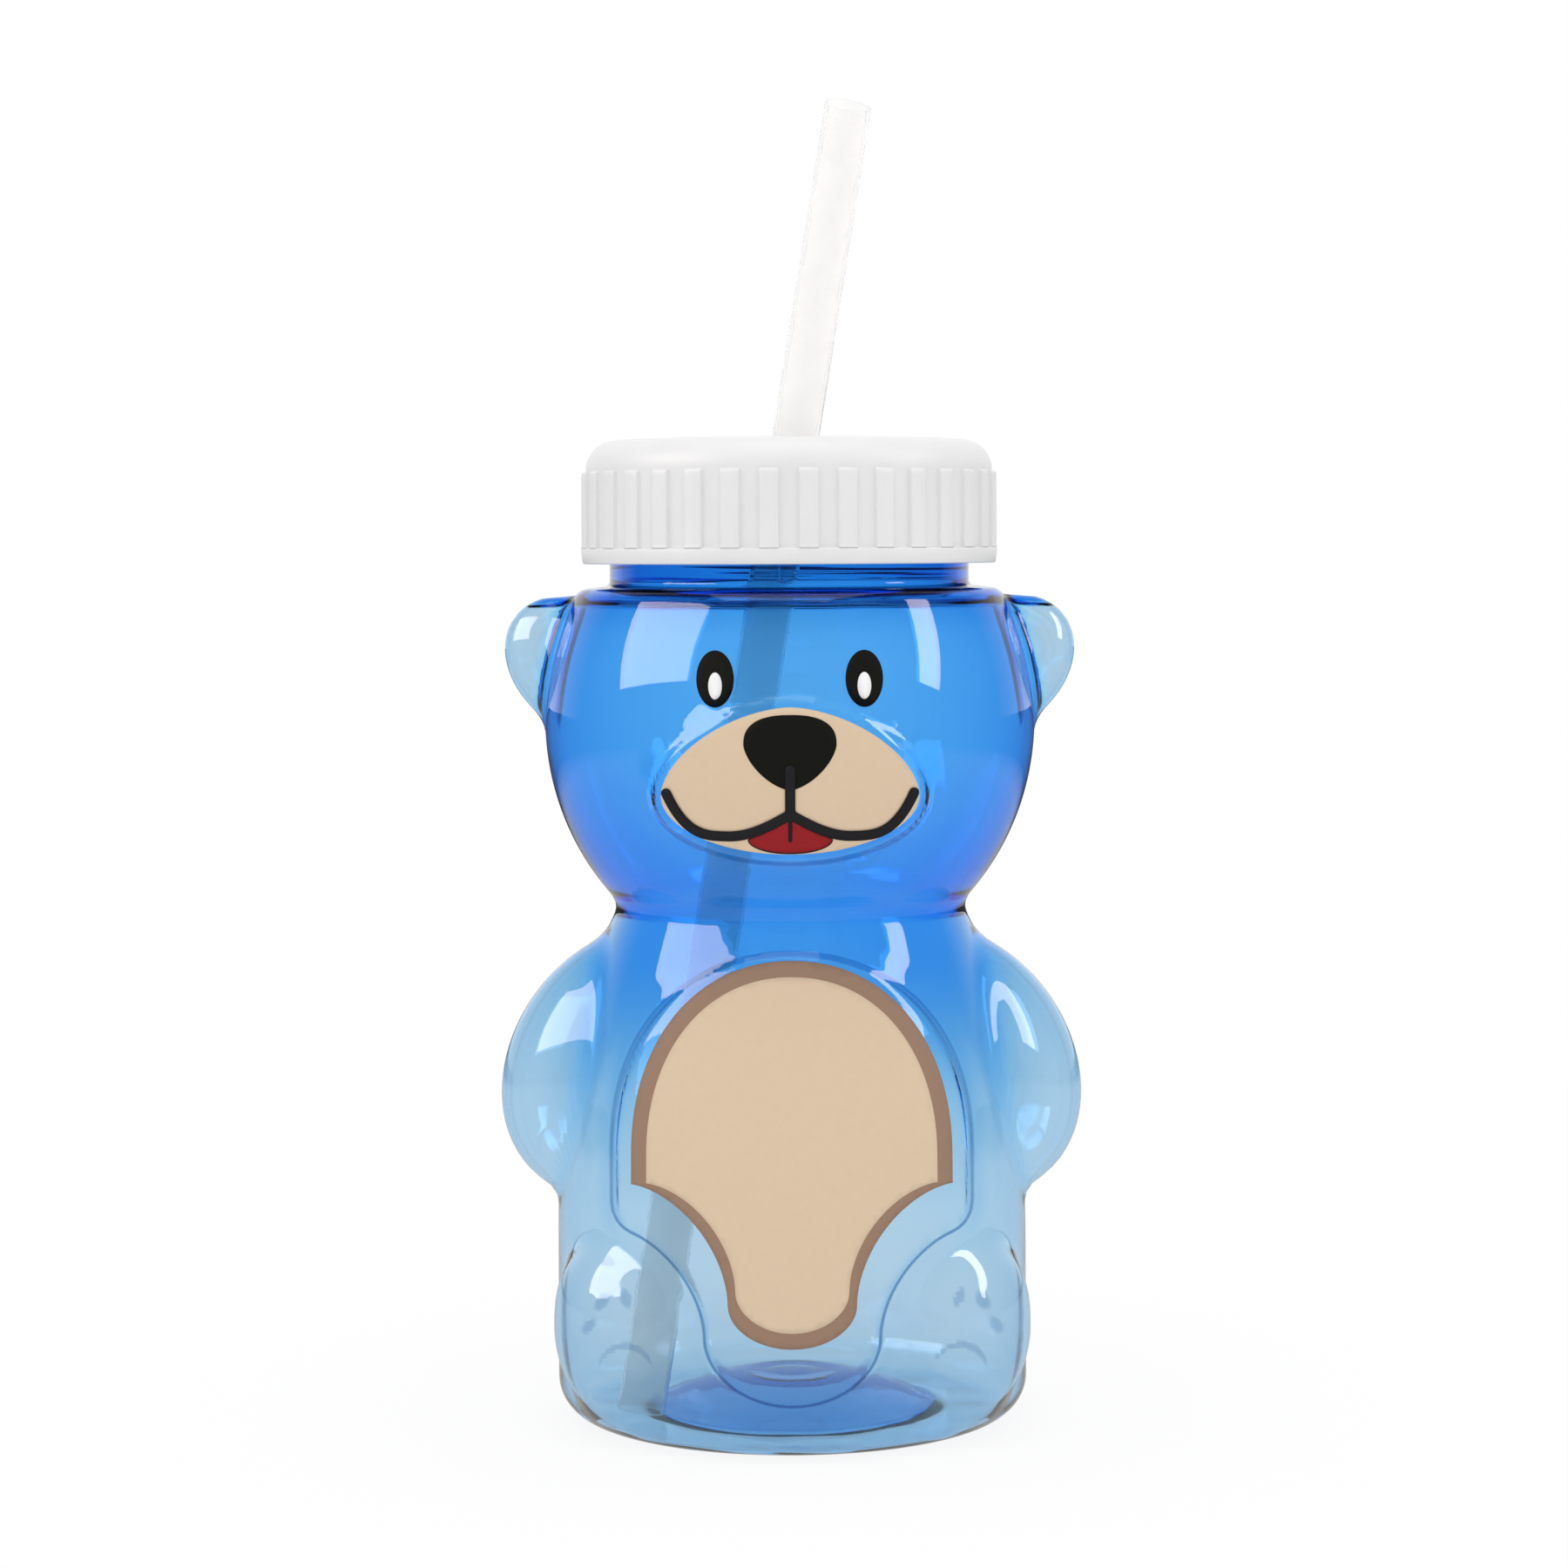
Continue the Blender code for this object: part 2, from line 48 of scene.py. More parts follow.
WAIST = 78.5
WAIST_RADIUS = 26.4
WAIST_BLEND = 2.4
SHOULDER_ABOVE_HEAD_CENTRE = 20.0
SHOULDER_WIDTH = 4.8
SHOULDER_ROUND = 1.4
SHOULDER_RISE = 0.5
HEAD_CENTRE = WAIST + HEAD_HALF_HEIGHT * math.sqrt(1 - (WAIST_RADIUS / HEAD_RADIUS) ** 2)
TORSO_HALF_HEIGHT = (WAIST - TORSO_CENTRE) / math.sqrt(1 - (WAIST_RADIUS / TORSO_RADIUS) ** 2)
SHOULDER = HEAD_CENTRE + SHOULDER_ABOVE_HEAD_CENTRE

# Base: its corner, the ring that it stands on, and the pushed-up dome with the gate's hollow
BASE_CORNER = 6.0
RING_WIDTH = 8.5
RING_SHARES = (0.4, 0.8, 1)
PUSH_UP = 5.5
DOME_ROWS = 17
DOME_EDGE = 0.6
DOME_EDGE_RISE = 0.12
DOME_FIRST_ROW = 1.5
GATE_RADIUS = 6.4
GATE_DEPTH = 0.5
GATE_EDGE = 1.2

# The real wall's thickness by height: thickest at the waist, thin where it was blown furthest
WALL_HEIGHTS = (0, 4, 8, 14, 26, 40, 52, 60, 66, 72, 76, 79, 84, 92, 102, 116, 122, 126)
WALL_THICKNESSES = (
    0.8, 0.5, 0.4, 0.36, 0.36, 0.42, 0.7, 1.2, 1.6, 1.7, 1.7, 1.7, 1.7, 1.5, 1.3, 1.25, 1.3, 1.3
)
RING_WALL = 0.6
DOME_WALL = 1.1
CORNER_SINES = (0, 0.5, 0.8, 1)
CORNER_WALLS = (0.4, 0.4, 0.5, RING_WALL)
ARM_THINNING = 0.5
ARM_THINNING_ANGLE = 0.5
ARM_THINNING_HEIGHTS = (55, 62, 76, 80)

# The limbs' wall, and how much thicker it is where they leave the body
LIMB_WALL = 0.32
LIMB_TAPER = 0.9
LIMB_TAPER_REACH = 4.5
LIMB_TAPER_HEIGHTS = (38, 58, 85, 100)
LIMB_TAPER_SHARES = (0, 1, 1, 0.3)

# Relief inside the wall: the shoulder's bead, the neck's flow streaks and the base's ripple
SHOULDER_BEAD = 0.45
SHOULDER_BEAD_HEIGHT = 124.9
SHOULDER_BEAD_WIDTH = 0.35
SHOULDER_BEAD_INNER = 30
NECK_STREAKS = 0.06
BASE_RIPPLE = 0.05
BASE_RIPPLE_HEIGHTS = (0, 2, 9)
BASE_RIPPLE_INNER = 6

# Neck, its thread, and the gate mark's line down its front
NECK_WALL = 1.7
NECK_HEIGHT = 19.4
NECK_FILLET = 0.7
NECK_SHOWN = 132
NECK_SHOWN_ROWS = 12
NECK_HIDDEN_ROWS = 18
RIM_ROUND = 0.5
NECK_FOOT = SHOULDER + SHOULDER_RISE
NECK_TOP = NECK_FOOT + NECK_HEIGHT
NECK_MARK_X = -0.9
NECK_MARK_WIDTH = 0.25
NECK_MARK_RISE = 0.3
THREAD_PITCH = 3.2
THREAD_RISE = 1.3
THREAD_HALF_WIDTH = 1.15
THREAD_STEEPNESS = 1.6
THREAD_START = 7.0
THREAD_TURNS = 2.2
THREAD_RUNOUT = 0.12

# Limbs: centre, half sizes, and the tilt (ears and arms) or turn (feet) of the first half size
ARM = ((25.0, 0.0, WAIST - 24.5), (17.8, 15.0, 22.6), math.radians(37.5))
EAR = ((31.5, 0.0, HEAD_CENTRE + 7.8), (13.5, 5.5, 10.0), math.radians(35))
FOOT_TURN = math.radians(52)
FOOT_DISTANCE = 31.0
FOOT_HALF_SIZES = (10.2, 13.0, 14.5)
FOOT_LIFT = 2.0
FOOT_FULLNESS = 1.25
FOOT_LOWEST = 1.8
LIMB_BLEND = 2.2

# Low relief on the feet: distance from the middle, height, half width, half height and lean
PAW_TOES = ((24.4, 22.9, 0.9, 1.5, -20), (28.0, 22.2, 0.9, 1.5, 35), (30.0, 18.4, 0.8, 1.4, 40))
PAW_PAD = (24.4, 12.4, 4.2, 4.4, 0)
PAW_CRESCENT = 1.3
PAW_EDGE = 0.7
PAW_RISE = 0.12
PAW_TOP = 30

# Raised pads and the soft step round them. The muzzle is an oval, with half width, rise and drop
MUZZLE_SIZES = (18.9, 13.1, 8.5)
MUZZLE_POWER = 1.7
MUZZLE_RISE = 1.5
MUZZLE_MARGIN = 1.2
BELLY_RISE = 0.9
PAD_STEP = 1.0
PAD_SWELL = 4.5
PAD_SHARE = 0.55
BELLY_SIDES = (20, 27)
BELLY_SIDE_SHARE = 0.2
MEAN_PAD_RISE = 0.5

# What bib takes for the belly's pad, its printed border and its printed field
BELLY_PAD = (26.4, 29.1, 10.8, 3.6, 15.0, 12.6, 9.4)
BELLY_BORDER = (23.7, 28.6, 4.4, 0, 16.4, 9.4, 6.2)
BELLY_FIELD = (21.4, 26.3, 4.0, 0, 14.7, 8.3, 6.0)
BIB_TOP_POWER = 2.1
BIB_NOTCH_POWER = 1.8

# How far apart the shell's rows are down to each height, and its columns up to each angle
ROW_STEPS = ((123, 0.4), (113, 1.1), (84, 0.82), (75, 0.9))
ROW_STEPS += ((60, 0.85), (31, 1.3), (9, 0.74), (BASE_CORNER, 0.75))
COLUMN_STEPS = ((40, 1.0), (52, 0.75), (76, 1.5), (104, 0.95), (132, 2.2), (180, 4.8))

# The search inwards for the shell's radius, the step that gives a slope, and what counts as equal
SEARCH_START = 52.0
SEARCH_STEPS = 110
SEARCH_SHARE = 0.45
NEAR = 0.1
TOUCH = 0.01

# How blue or grey the shell's surface is by height, as places on the ramp of its tints. This is
# partly the plastic's own depth, paler on the thin limbs, and partly painted shade: greyer and
# darker down to the base, and deepest on the dome under it and at the shoulder and neck under the
# lid
TINT_HEIGHTS = (0, 5, 12, 24, 40, 60, 75, 120, 125, 127.5)
TINTS = (0.8, 0.74, 0.65, 0.58, 0.56, 0.54, 0.4, 0.4, 0.26, 0.12)
# The dome under the bottle takes the ramp's deepest end, as painted shade
DOME_TINT = 0.0
LIMB_TINT = 0.58
LIMB_PROUD = 2.5
TINT_STOPS = [
    (0.0, (0.32, 0.49, 0.71)),
    (0.12, (0.42, 0.76, 0.88)),
    (0.4, (0.93, 0.99, 0.985)),
    (0.6, (0.925, 0.90, 0.895)),
    (0.8, (0.86, 0.845, 0.84)),
    (1.0, (0.70, 0.70, 0.70)),
]

# Painted shade along the pads' edges: a dark line round the belly's pad and the muzzle that stands
# in for the shade in the clear wall at their soft steps. Where it runs, how it thins up the muzzle,
# and its tints. The feet's relief marks get painted shade on the clear side of the same ramp
SHADE_LINE_FRONT = 0.2
SHADE_LINE_HEIGHTS = (2, 118)
SHADE_LINE_PAST_BELLY = 0.2
SHADE_LINE_PAST_MUZZLE = 0.1
SHADE_LINE_THINNING = 3
SHADE_LINE_THINS_BELOW_MUZZLE = 2
SHADE_LINE_MIDDLE = 0.5
SHADE_LINE_CLEAR_FROM = 0.15
SHADE_LINE_NONE = 9
PAW_SHADE = 0.1
CLEAR = (1, 1, 1)
SHADE_LINE_COLOUR = (0.26, 0.44, 0.64)
SHADE_LINE_STOPS = [(0.0, CLEAR), (SHADE_LINE_CLEAR_FROM, CLEAR), (0.38, SHADE_LINE_COLOUR), (0.62, SHADE_LINE_COLOUR), (0.85, CLEAR)]

# Prints. An oval has its half width, rise, drop and the powers of its top and bottom
MUZZLE = HEAD_CENTRE - 9.8
NOSE = MUZZLE + 7.7
NOSE_OVAL = (6.75, 4.3, 6.65, 2.5, 1.55)
TONGUE = MUZZLE - 6.3
TONGUE_OVAL = (6.0, 3.6, 1.9, 1.05)
TONGUE_EDGE_OVAL = (6.2, 3.8, 2.15, 1.05)
TONGUE_LINE = 0.29
TONGUE_LINE_END = MUZZLE - 6.35
MOUTH = MUZZLE - 2.5
MOUTH_STROKE = 1.5
MOUTH_HALF_WIDTH = 18.1
MOUTH_SAG = 3.3
MOUTH_LIFT = 6.2
MOUTH_LIFT_POWER = 3.2
MOUTH_LINE = 6.5
MOUTH_FORK = 0.3
EYE_X = 10.85
EYE_Z = HEAD_CENTRE + 7.3
EYE_OVAL = (2.75, 4.15, 4.15)
GLINT_OVAL = (1.0, 1.95, 1.95)
GLINT_DROP = 1.0
BELLY = 43.8
FILM = 0.05
FILM_GAP = 0.02
FILM_EDGE_STEP = 0.3
FILM_STEP = 1.0
FILM_EDGE_CLEAR = 0.4

# Each ink's linear colour and roughness
INKS = {
    "tan_print": ((0.716, 0.552, 0.392), 0.5),
    "brown_print": ((0.33, 0.21, 0.148), 0.5),
    "black_print": ((0.010, 0.010, 0.008), 0.6),
    "dark_print": ((0.019, 0.018, 0.020), 0.6),
    "red_print": ((0.308, 0.018, 0.022), 0.5),
    "white_print": ((0.91, 0.91, 0.91), 0.45),
}

# Lid, over a seal that has a gap above and below it
SEAL_GAP = 0.3
SEAL_THICKNESS = 1.2
LID_TOP_WALL = 1.5
LID_ABOVE_SHOULDER = 3.4
LID_BOTTOM = NECK_FOOT + LID_ABOVE_SHOULDER
LID_TOP = NECK_TOP + SEAL_GAP + SEAL_THICKNESS + SEAL_GAP + LID_TOP_WALL
LID_CROWN = 0.4
LID_CORNER = 4.5
SKIRT_CLEARANCE = 2.3
SKIRT_WALL = 1.3
BAND_HEIGHT = 2.4
BAND_RISE = 0.8
BAND_DRAFT = 0.25
RIB_COUNT = 34
RIB_WIDTH = 2.9
RIB_RISE = 0.7
RIB_TOP_GAP = 0.2
STRAW_HOLE = 5.2

# A rib's soft edges, with shares of its rise: soft widths past its side, in degrees, and places
# below its top
RIB_SOFT = 0.26
RIB_EDGE = ((-1.6, 1), (-0.5, 0.94), (-0.1, 0.72), (0.1, 0.2), (0.55, 0.04), (1.4, 0))
RIB_TOP = ((0, 0), (0.12, 0.7), (0.3, 0.93), (0.55, 1))

# The lid's rounded edges, as distances across and along from each corner
HOLE_EDGE = ((0, 0.25), (0.08, 0.08), (0.3, 0))
RIB_FOOT_EDGE = ((0, 0.25), (0.1, 0.05))
BAND_EDGE = ((0.25, 0), (0.07, 0.07), (0, 0.25))
FOOT_EDGE = ((0, 0.3), (0.09, 0.09), (0.3, 0))
FOOT_INNER_EDGE = ((0.2, 0), (0, 0.2))
TOP_INNER_EDGE = ((0.15, 0.15), (0.6, 0))
RIB_SIDES = (1.2, 0.6)
SKIRT_SIDES = (2, 0.6)

# Straw
STRAW_RADIUS = 3.65
STRAW_WALL = 0.4
STRAW_SOFT = 0.1
STRAW_END = 2
STRAW_ROWS = 12
STRAW_COLUMNS = 96

# Camera, as the photograph was taken
CAMERA_DISTANCE = 600.0
CAMERA_HEIGHT = 134.15
FOCAL_LENGTH = 89.2
CAMERA_ROLL = math.radians(0.25)
PICTURE_WIDTH = 1800
SHIFT_X = -5.8 / PICTURE_WIDTH
SHIFT_Y = -280 / PICTURE_WIDTH

# Stage, with lengths in metres: the light that reaches matt surfaces from all round, the floor, and
# where the floor and the world change shade in what gloss shows of them
FILL = 0.95
FLOOR_REACH = 4.0
FLOOR_DROP = 0.0002
FLOOR_COLOUR = (0.9, 0.9, 0.9, 1)
FLOOR_WHITE = 0.9
FLOOR_WHITENS = (0.05, 0.4)
TABLE_EDGE = (0.45, 0.7)
TABLE_GLOSS = (0.6, 0.08)
WORLD_EDGE = (0.4, 0.85)
WORLD_DARK = (0.08, 0.08, 0.09)
WHITE = (1, 1, 1, 1)
LAMP_DISTANCE = 1.0
LAMP_AIM = 0.09


# ---------------------------------------------------------------- meshes and nodes


def make_mesh(name, points, faces, material, body, replaces=()):
    """A smooth piece from points in millimetres, riding on a CAD body."""
    mesh = bpy.data.meshes.new(name)
    metres = (np.asarray(points, float) * MM).tolist()
    mesh.from_pydata(metres, [], [list(map(int, face)) for face in faces])
    mesh.validate()
    mesh.shade_smooth()
    mesh.materials.append(material)
    piece = bpy.data.objects.new(name, mesh)
    bpy.context.scene.collection.objects.link(piece)
    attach(piece, body)
    if replaces:
        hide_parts(*replaces)
    return piece


def grid_faces(rows, columns, first=0, inward=False):
    """Quads of a grid that closes round its columns; its rows run down the outer side."""
    row, column = np.meshgrid(np.arange(rows - 1), np.arange(columns), indexing="ij")
    beside = (column + 1) % columns
    corners = [row * columns + column, (row + 1) * columns + column]
    corners += [(row + 1) * columns + beside, row * columns + beside]
    quads = np.stack(corners, axis=-1).reshape(-1, 4) + first
    return quads[:, [0, 3, 2, 1]] if inward else quads


def ring_faces(rows, columns):
    """Quads of a grid that closes both ways, like the skin of a ring or of a tube with a bore."""
    total = rows * columns
    return [[index % total for index in face] for face in grid_faces(rows + 1, columns).tolist()]


def round_axis(radius, angle, z):
    """Points at a radius and a height, by angle from the front."""
    return np.stack([radius * np.sin(angle), -radius * np.cos(angle), z], axis=-1)


def add_node(tree, kind, **values):
    node = tree.nodes.new(kind)
    for key, value in values.items():
        if hasattr(node, key):
            setattr(node, key, value)
        else:
            node.inputs[key.replace("_", " ")].default_value = value
    return node


def new_material(name, roughness, **sockets):
    """A Principled material; sockets hold values that are the same all over the surface."""
    material = bpy.data.materials.new(name)
    material.use_nodes = True
    shader = material.node_tree.nodes["Principled BSDF"]
    shader.inputs["Roughness"].default_value = roughness
    for key, value in sockets.items():
        shader.inputs[key.replace("_", " ")].default_value = value
    return material, material.node_tree, shader


def noise(tree, scale, detail=2.0, stretch=(1, 1, 1)):
    """Noise in object coordinates, with so many cells to a metre."""
    place = add_node(tree, "ShaderNodeTexCoord")
    mapping = add_node(tree, "ShaderNodeMapping")
    mapping.inputs["Scale"].default_value = stretch
    texture = add_node(tree, "ShaderNodeTexNoise", Scale=scale, Detail=detail)
    tree.links.new(place.outputs["Object"], mapping.inputs["Vector"])
    tree.links.new(mapping.outputs["Vector"], texture.inputs["Vector"])
    return texture.outputs["Fac"]


def ramp(tree, source, stops):
    """A colour ramp through (place, linear colour) stops."""
    node = add_node(tree, "ShaderNodeValToRGB")
    elements = node.color_ramp.elements
    while len(elements) < len(stops):
        elements.new(0.5)
    for element, (place, colour) in zip(elements, stops):
        element.position = place
        element.color = (*colour, 1)
    tree.links.new(source, node.inputs["Fac"])
    return node.outputs["Color"]


def bump(tree, shader, height, strength, distance):
    node = add_node(tree, "ShaderNodeBump", Strength=strength, Distance=distance * MM)
    tree.links.new(height, node.inputs["Height"])
    tree.links.new(node.outputs["Normal"], shader.inputs["Normal"])


def mottled(tree, shader, colour, spread, scale):
    """A base colour that varies a little from place to place."""
    low = [channel * (1 - spread) for channel in colour]
    high = [min(1, channel * (1 + spread)) for channel in colour]
    varied = ramp(tree, noise(tree, scale), [(0.35, low), (0.65, high)])
    tree.links.new(varied, shader.inputs["Base Color"])


# ---------------------------------------------------------------- outlines in X and Z


def superellipse(centre, half_sizes, power, start, end, steps=24):
    """Points along part of a superellipse, by angle from +X towards +Z in degrees."""
    angle = np.radians(np.linspace(start, end, steps + 1))
    across, up = np.cos(angle), np.sin(angle)
    x = centre[0] + half_sizes[0] * np.sign(across) * np.abs(across) ** (2 / power)
    z = centre[1] + half_sizes[1] * np.sign(up) * np.abs(up) ** (2 / power)
    return list(zip(x.tolist(), z.tolist()))


def mirrored(half):
    """A closed outline from its right half, which runs from the top to the bottom."""
    return half + [(-x, z) for x, z in reversed(half[1:-1])]


def oval(centre, half_width, rise, drop, top_power=2.0, bottom_power=2.0):
    top = superellipse((0, centre[1]), (half_width, rise), top_power, 90, 0)
    bottom = superellipse((0, centre[1]), (half_width, drop), bottom_power, 0, -90)
    return [(centre[0] + x, z) for x, z in mirrored(top + bottom[1:])]


def bent(start, corner, end, steps=8):
    """Points that round a corner."""
    t = np.linspace(0, 1, steps + 1)[:, None]
    start, corner, end = np.array(start), np.array(corner), np.array(end)
    curve = start * (1 - t) ** 2 + corner * 2 * t * (1 - t) + end * t**2
    return [tuple(point) for point in curve.tolist()]


def bib(half_width, top_rise, corner_drop, corner_reach, flank_height, lobe_half_width, lobe_drop):
    """The belly's outline: a domed top, a corner at each side, a hollow flank and a round lobe."""
    corner_z = BELLY - corner_drop
    lobe_z = corner_z - flank_height
    top = superellipse((0, BELLY), (half_width, top_rise), BIB_TOP_POWER, 90, 0, 40)
    flank_size = (half_width - lobe_half_width, flank_height)
    across = (corner_reach / flank_size[0]) ** (BIB_NOTCH_POWER / 2)
    start = 90 - math.degrees(math.asin(across))
    flank = superellipse((0, lobe_z), flank_size, BIB_NOTCH_POWER, start, 0)
    flank = [(half_width - x, z) for x, z in flank]
    corner = [(half_width, corner_z)]
    if corner_reach:
        corner = bent((half_width, corner_z + corner_reach), corner[0], flank[0])[:-1]
    lobe = superellipse((0, lobe_z), (lobe_half_width, lobe_drop), 2, 0, -90)
    return mirrored(top + corner + flank[0 if corner_reach else 1 :] + lobe[1:])


def distance_inside(x, z, outline):
    """Signed distance of points from a closed outline, positive inside."""
    points = np.array(outline)
    ahead = np.roll(points, -1, axis=0)
    nearest = np.full(x.shape, 1e9)
    inside = np.zeros(x.shape, bool)
    for (x0, z0), (x1, z1) in zip(points, ahead):
        dx, dz = x1 - x0, z1 - z0
        share = np.clip(((x - x0) * dx + (z - z0) * dz) / max(dx * dx + dz * dz, 1e-12), 0, 1)
        nearest = np.minimum(nearest, np.hypot(x - x0 - share * dx, z - z0 - share * dz))
        if z0 != z1:
            crosses = ((z0 > z) != (z1 > z)) & (x < x0 + (z - z0) * dx / dz)
            inside ^= crosses
    return np.where(inside, nearest, -nearest)


def soft_step(value):
    share = np.clip(value, 0, 1)
    return share * share * (3 - 2 * share)


# ---------------------------------------------------------------- shell


def body_radius(z, grow):
    """The turned head and torso at a height, blended at the waist, with the base's rounded edge."""
    head_share = np.clip(np.abs(z - HEAD_CENTRE) / (HEAD_HALF_HEIGHT + grow), 0, 1)
    torso_share = np.clip(np.maximum(0, z - TORSO_CENTRE) / (TORSO_HALF_HEIGHT + grow), 0, 1)
    head = (HEAD_RADIUS + grow) * np.sqrt(1 - head_share**2)
    torso = (TORSO_RADIUS + grow) * np.sqrt(1 - torso_share**2)
    near = np.clip(1 - np.abs(head - torso) / WAIST_BLEND, 0, 1)
    corner = BASE_CORNER + grow
    below = np.clip((BASE_CORNER - z) / corner, 0, 1)
    rounded = corner * (1 - np.sqrt(1 - below**2))
    return np.maximum(head, torso) + near**2 * WAIST_BLEND / 4 - rounded


def ellipsoid_distance(point, centre, half_sizes, axes):
    """About how far a point is outside an ellipsoid whose half sizes lie along three axes."""
    offset = [p - c for p, c in zip(point, centre)]
    along = [sum(o * a for o, a in zip(offset, axis)) for axis in axes]
    scaled = np.sqrt(sum((a / h) ** 2 for a, h in zip(along, half_sizes)))
    slope = np.sqrt(sum((a / h**2) ** 2 for a, h in zip(along, half_sizes)))
    return scaled * (scaled - 1) / np.maximum(slope, 1e-9)


def limb_distance(radius, angle, z, grow):
    """About how far a point is outside the nearest of arm, ear and foot, left and right alike."""
    point = (np.abs(radius * np.sin(angle)), -radius * np.cos(angle), z)
    nearest = np.inf
    for centre, half_sizes, tilt in (ARM, EAR):
        across, up = math.cos(tilt), math.sin(tilt)
        axes = ((across, 0, up), (0, 1, 0), (-up, 0, across))
        grown = [size + grow for size in half_sizes]
        nearest = np.minimum(nearest, ellipsoid_distance(point, centre, grown, axes))
    across, forward = math.sin(FOOT_TURN), math.cos(FOOT_TURN)
    centre = (FOOT_DISTANCE * across, -FOOT_DISTANCE * forward, FOOT_HALF_SIZES[2] + FOOT_LIFT)
    axes = ((across, -forward, 0), (forward, across, 0), (0, 0, 1))
    grown = [size + grow for size in FOOT_HALF_SIZES]
    share = (z - centre[2]) / grown[2]
    power = np.where(share > 0, FOOT_FULLNESS, 1)
    fuller = centre[2] + grown[2] * np.sign(share) * np.abs(share) ** power
    foot = ellipsoid_distance((point[0], point[1], fuller), centre, grown, axes)
    return np.minimum(nearest, foot)


def pad_outlines():
    """The outlines of the raised pads, the belly's and the muzzle's."""
    grown = [size + MUZZLE_MARGIN for size in MUZZLE_SIZES]
    return bib(*BELLY_PAD), oval((0, MUZZLE), *grown, MUZZLE_POWER)


def pad_rise(x, z):
    """How far the muzzle and the belly stand proud at a place on the front."""
    belly, muzzle = pad_outlines()
    belly_share = np.interp(np.abs(x), BELLY_SIDES, (PAD_SHARE, BELLY_SIDE_SHARE))
    pads = ((MUZZLE_RISE, muzzle, PAD_SHARE), (BELLY_RISE, belly, belly_share))
    rise = np.zeros(np.broadcast(x, z).shape)
    for total, outline, share in pads:
        within = distance_inside(x, z, outline)
        step = soft_step(within / PAD_STEP + 0.5)
        swell = soft_step((within + PAD_SWELL - PAD_STEP / 2) / PAD_SWELL)
        rise += total * (share * step + (1 - share) * swell)
    return rise


def shade_line_distance(x, z):
    """Signed distance from the painted shade line round the belly's pad and the muzzle's."""
    belly, muzzle = pad_outlines()
    to_belly = distance_inside(x, z, belly) + SHADE_LINE_PAST_BELLY
    thinner = 1 + SHADE_LINE_THINNING * np.maximum(0, z - MUZZLE + SHADE_LINE_THINS_BELOW_MUZZLE)
    to_muzzle = (distance_inside(x, z, muzzle) + SHADE_LINE_PAST_MUZZLE) * thinner
    return np.where(np.abs(to_belly) < np.abs(to_muzzle), to_belly, to_muzzle)


def paw_marks(x, z):
    """Low relief on the feet, from 0 to 1: toes, and the crescent that is the pad's top edge."""
    marks = np.zeros(np.broadcast(x, z).shape)
    for paw in (*PAW_TOES, PAW_PAD):
        middle, height, half_width, half_height, lean = paw
        across, up = np.abs(x) - middle, z - height
        c, s = math.cos(math.radians(lean)), math.sin(math.radians(lean))
        along, beside = across * c + up * s, up * c - across * s
        reach = np.hypot(along / half_width, beside / half_height)
        mark = soft_step((1 - reach) * min(half_width, half_height) / PAW_EDGE + 0.5)
        if paw is PAW_PAD:
            within = np.hypot(across / half_width, (up + PAW_CRESCENT) / half_height)
            mark = mark * (1 - soft_step((1 - within) * half_width / PAW_EDGE + 0.5))
        marks = np.maximum(marks, mark)
    return marks


def body_wall(angle, z):
    """The real wall's thickness on the head and the torso, thinner beside the arms."""
    wall = np.interp(z, WALL_HEIGHTS, WALL_THICKNESSES)
    from_side = (np.abs(angle) - math.pi / 2) / ARM_THINNING_ANGLE
    by_arm = np.exp(-(from_side**2)) * np.interp(z, ARM_THINNING_HEIGHTS, (0, 1, 1, 0))
    return wall * (1 - ARM_THINNING * by_arm)


def shell_radius(angle, z, grow):
    """How far the shell reaches from the axis in a direction at a height, out- or inside."""
    body = body_radius(z, grow)
    slope = (body_radius(z + NEAR, grow) - body_radius(z - NEAR, grow)) / (2 * NEAR)
    level = 1 / np.sqrt(1 + slope**2)
    if grow:
        body = body + (WALL - body_wall(angle, z)) / level
    x = (body + MEAN_PAD_RISE - grow) * np.sin(angle)
    body = body + np.where(np.cos(angle) > 0, pad_rise(x, z), 0)
    taper = LIMB_TAPER * np.interp(z, LIMB_TAPER_HEIGHTS, LIMB_TAPER_SHARES)
    limb_grow = 0
    radius = np.full(np.broadcast(angle, z).shape, SEARCH_START)
    for _ in range(SEARCH_STEPS):
        to_body = (radius - body) * level
        if grow:
            beyond = np.maximum(0, radius - body)
            limb_grow = -LIMB_WALL - taper * np.exp(-beyond / LIMB_TAPER_REACH)
        to_limb = limb_distance(radius, angle, z, limb_grow)
        near = np.clip(1 - np.abs(to_body - to_limb) / LIMB_BLEND, 0, 1)
        blended = np.minimum(to_body, to_limb) - near**2 * LIMB_BLEND / 4
        radius = radius - SEARCH_SHARE * blended
    low = (np.cos(angle) > 0) & (z < PAW_TOP)
    return radius + np.where(low, PAW_RISE * paw_marks(radius * np.sin(angle), z), 0)


def body_heights(top, coarse):
    """Heights of the shell's rows, closer together where the pads' edges run across."""
    heights = []
    for end, step in ROW_STEPS:
        count = max(1, round((top - end) / step / coarse))
        heights += np.linspace(top, end, count + 1)[1:].tolist()
        top = end
    return heights


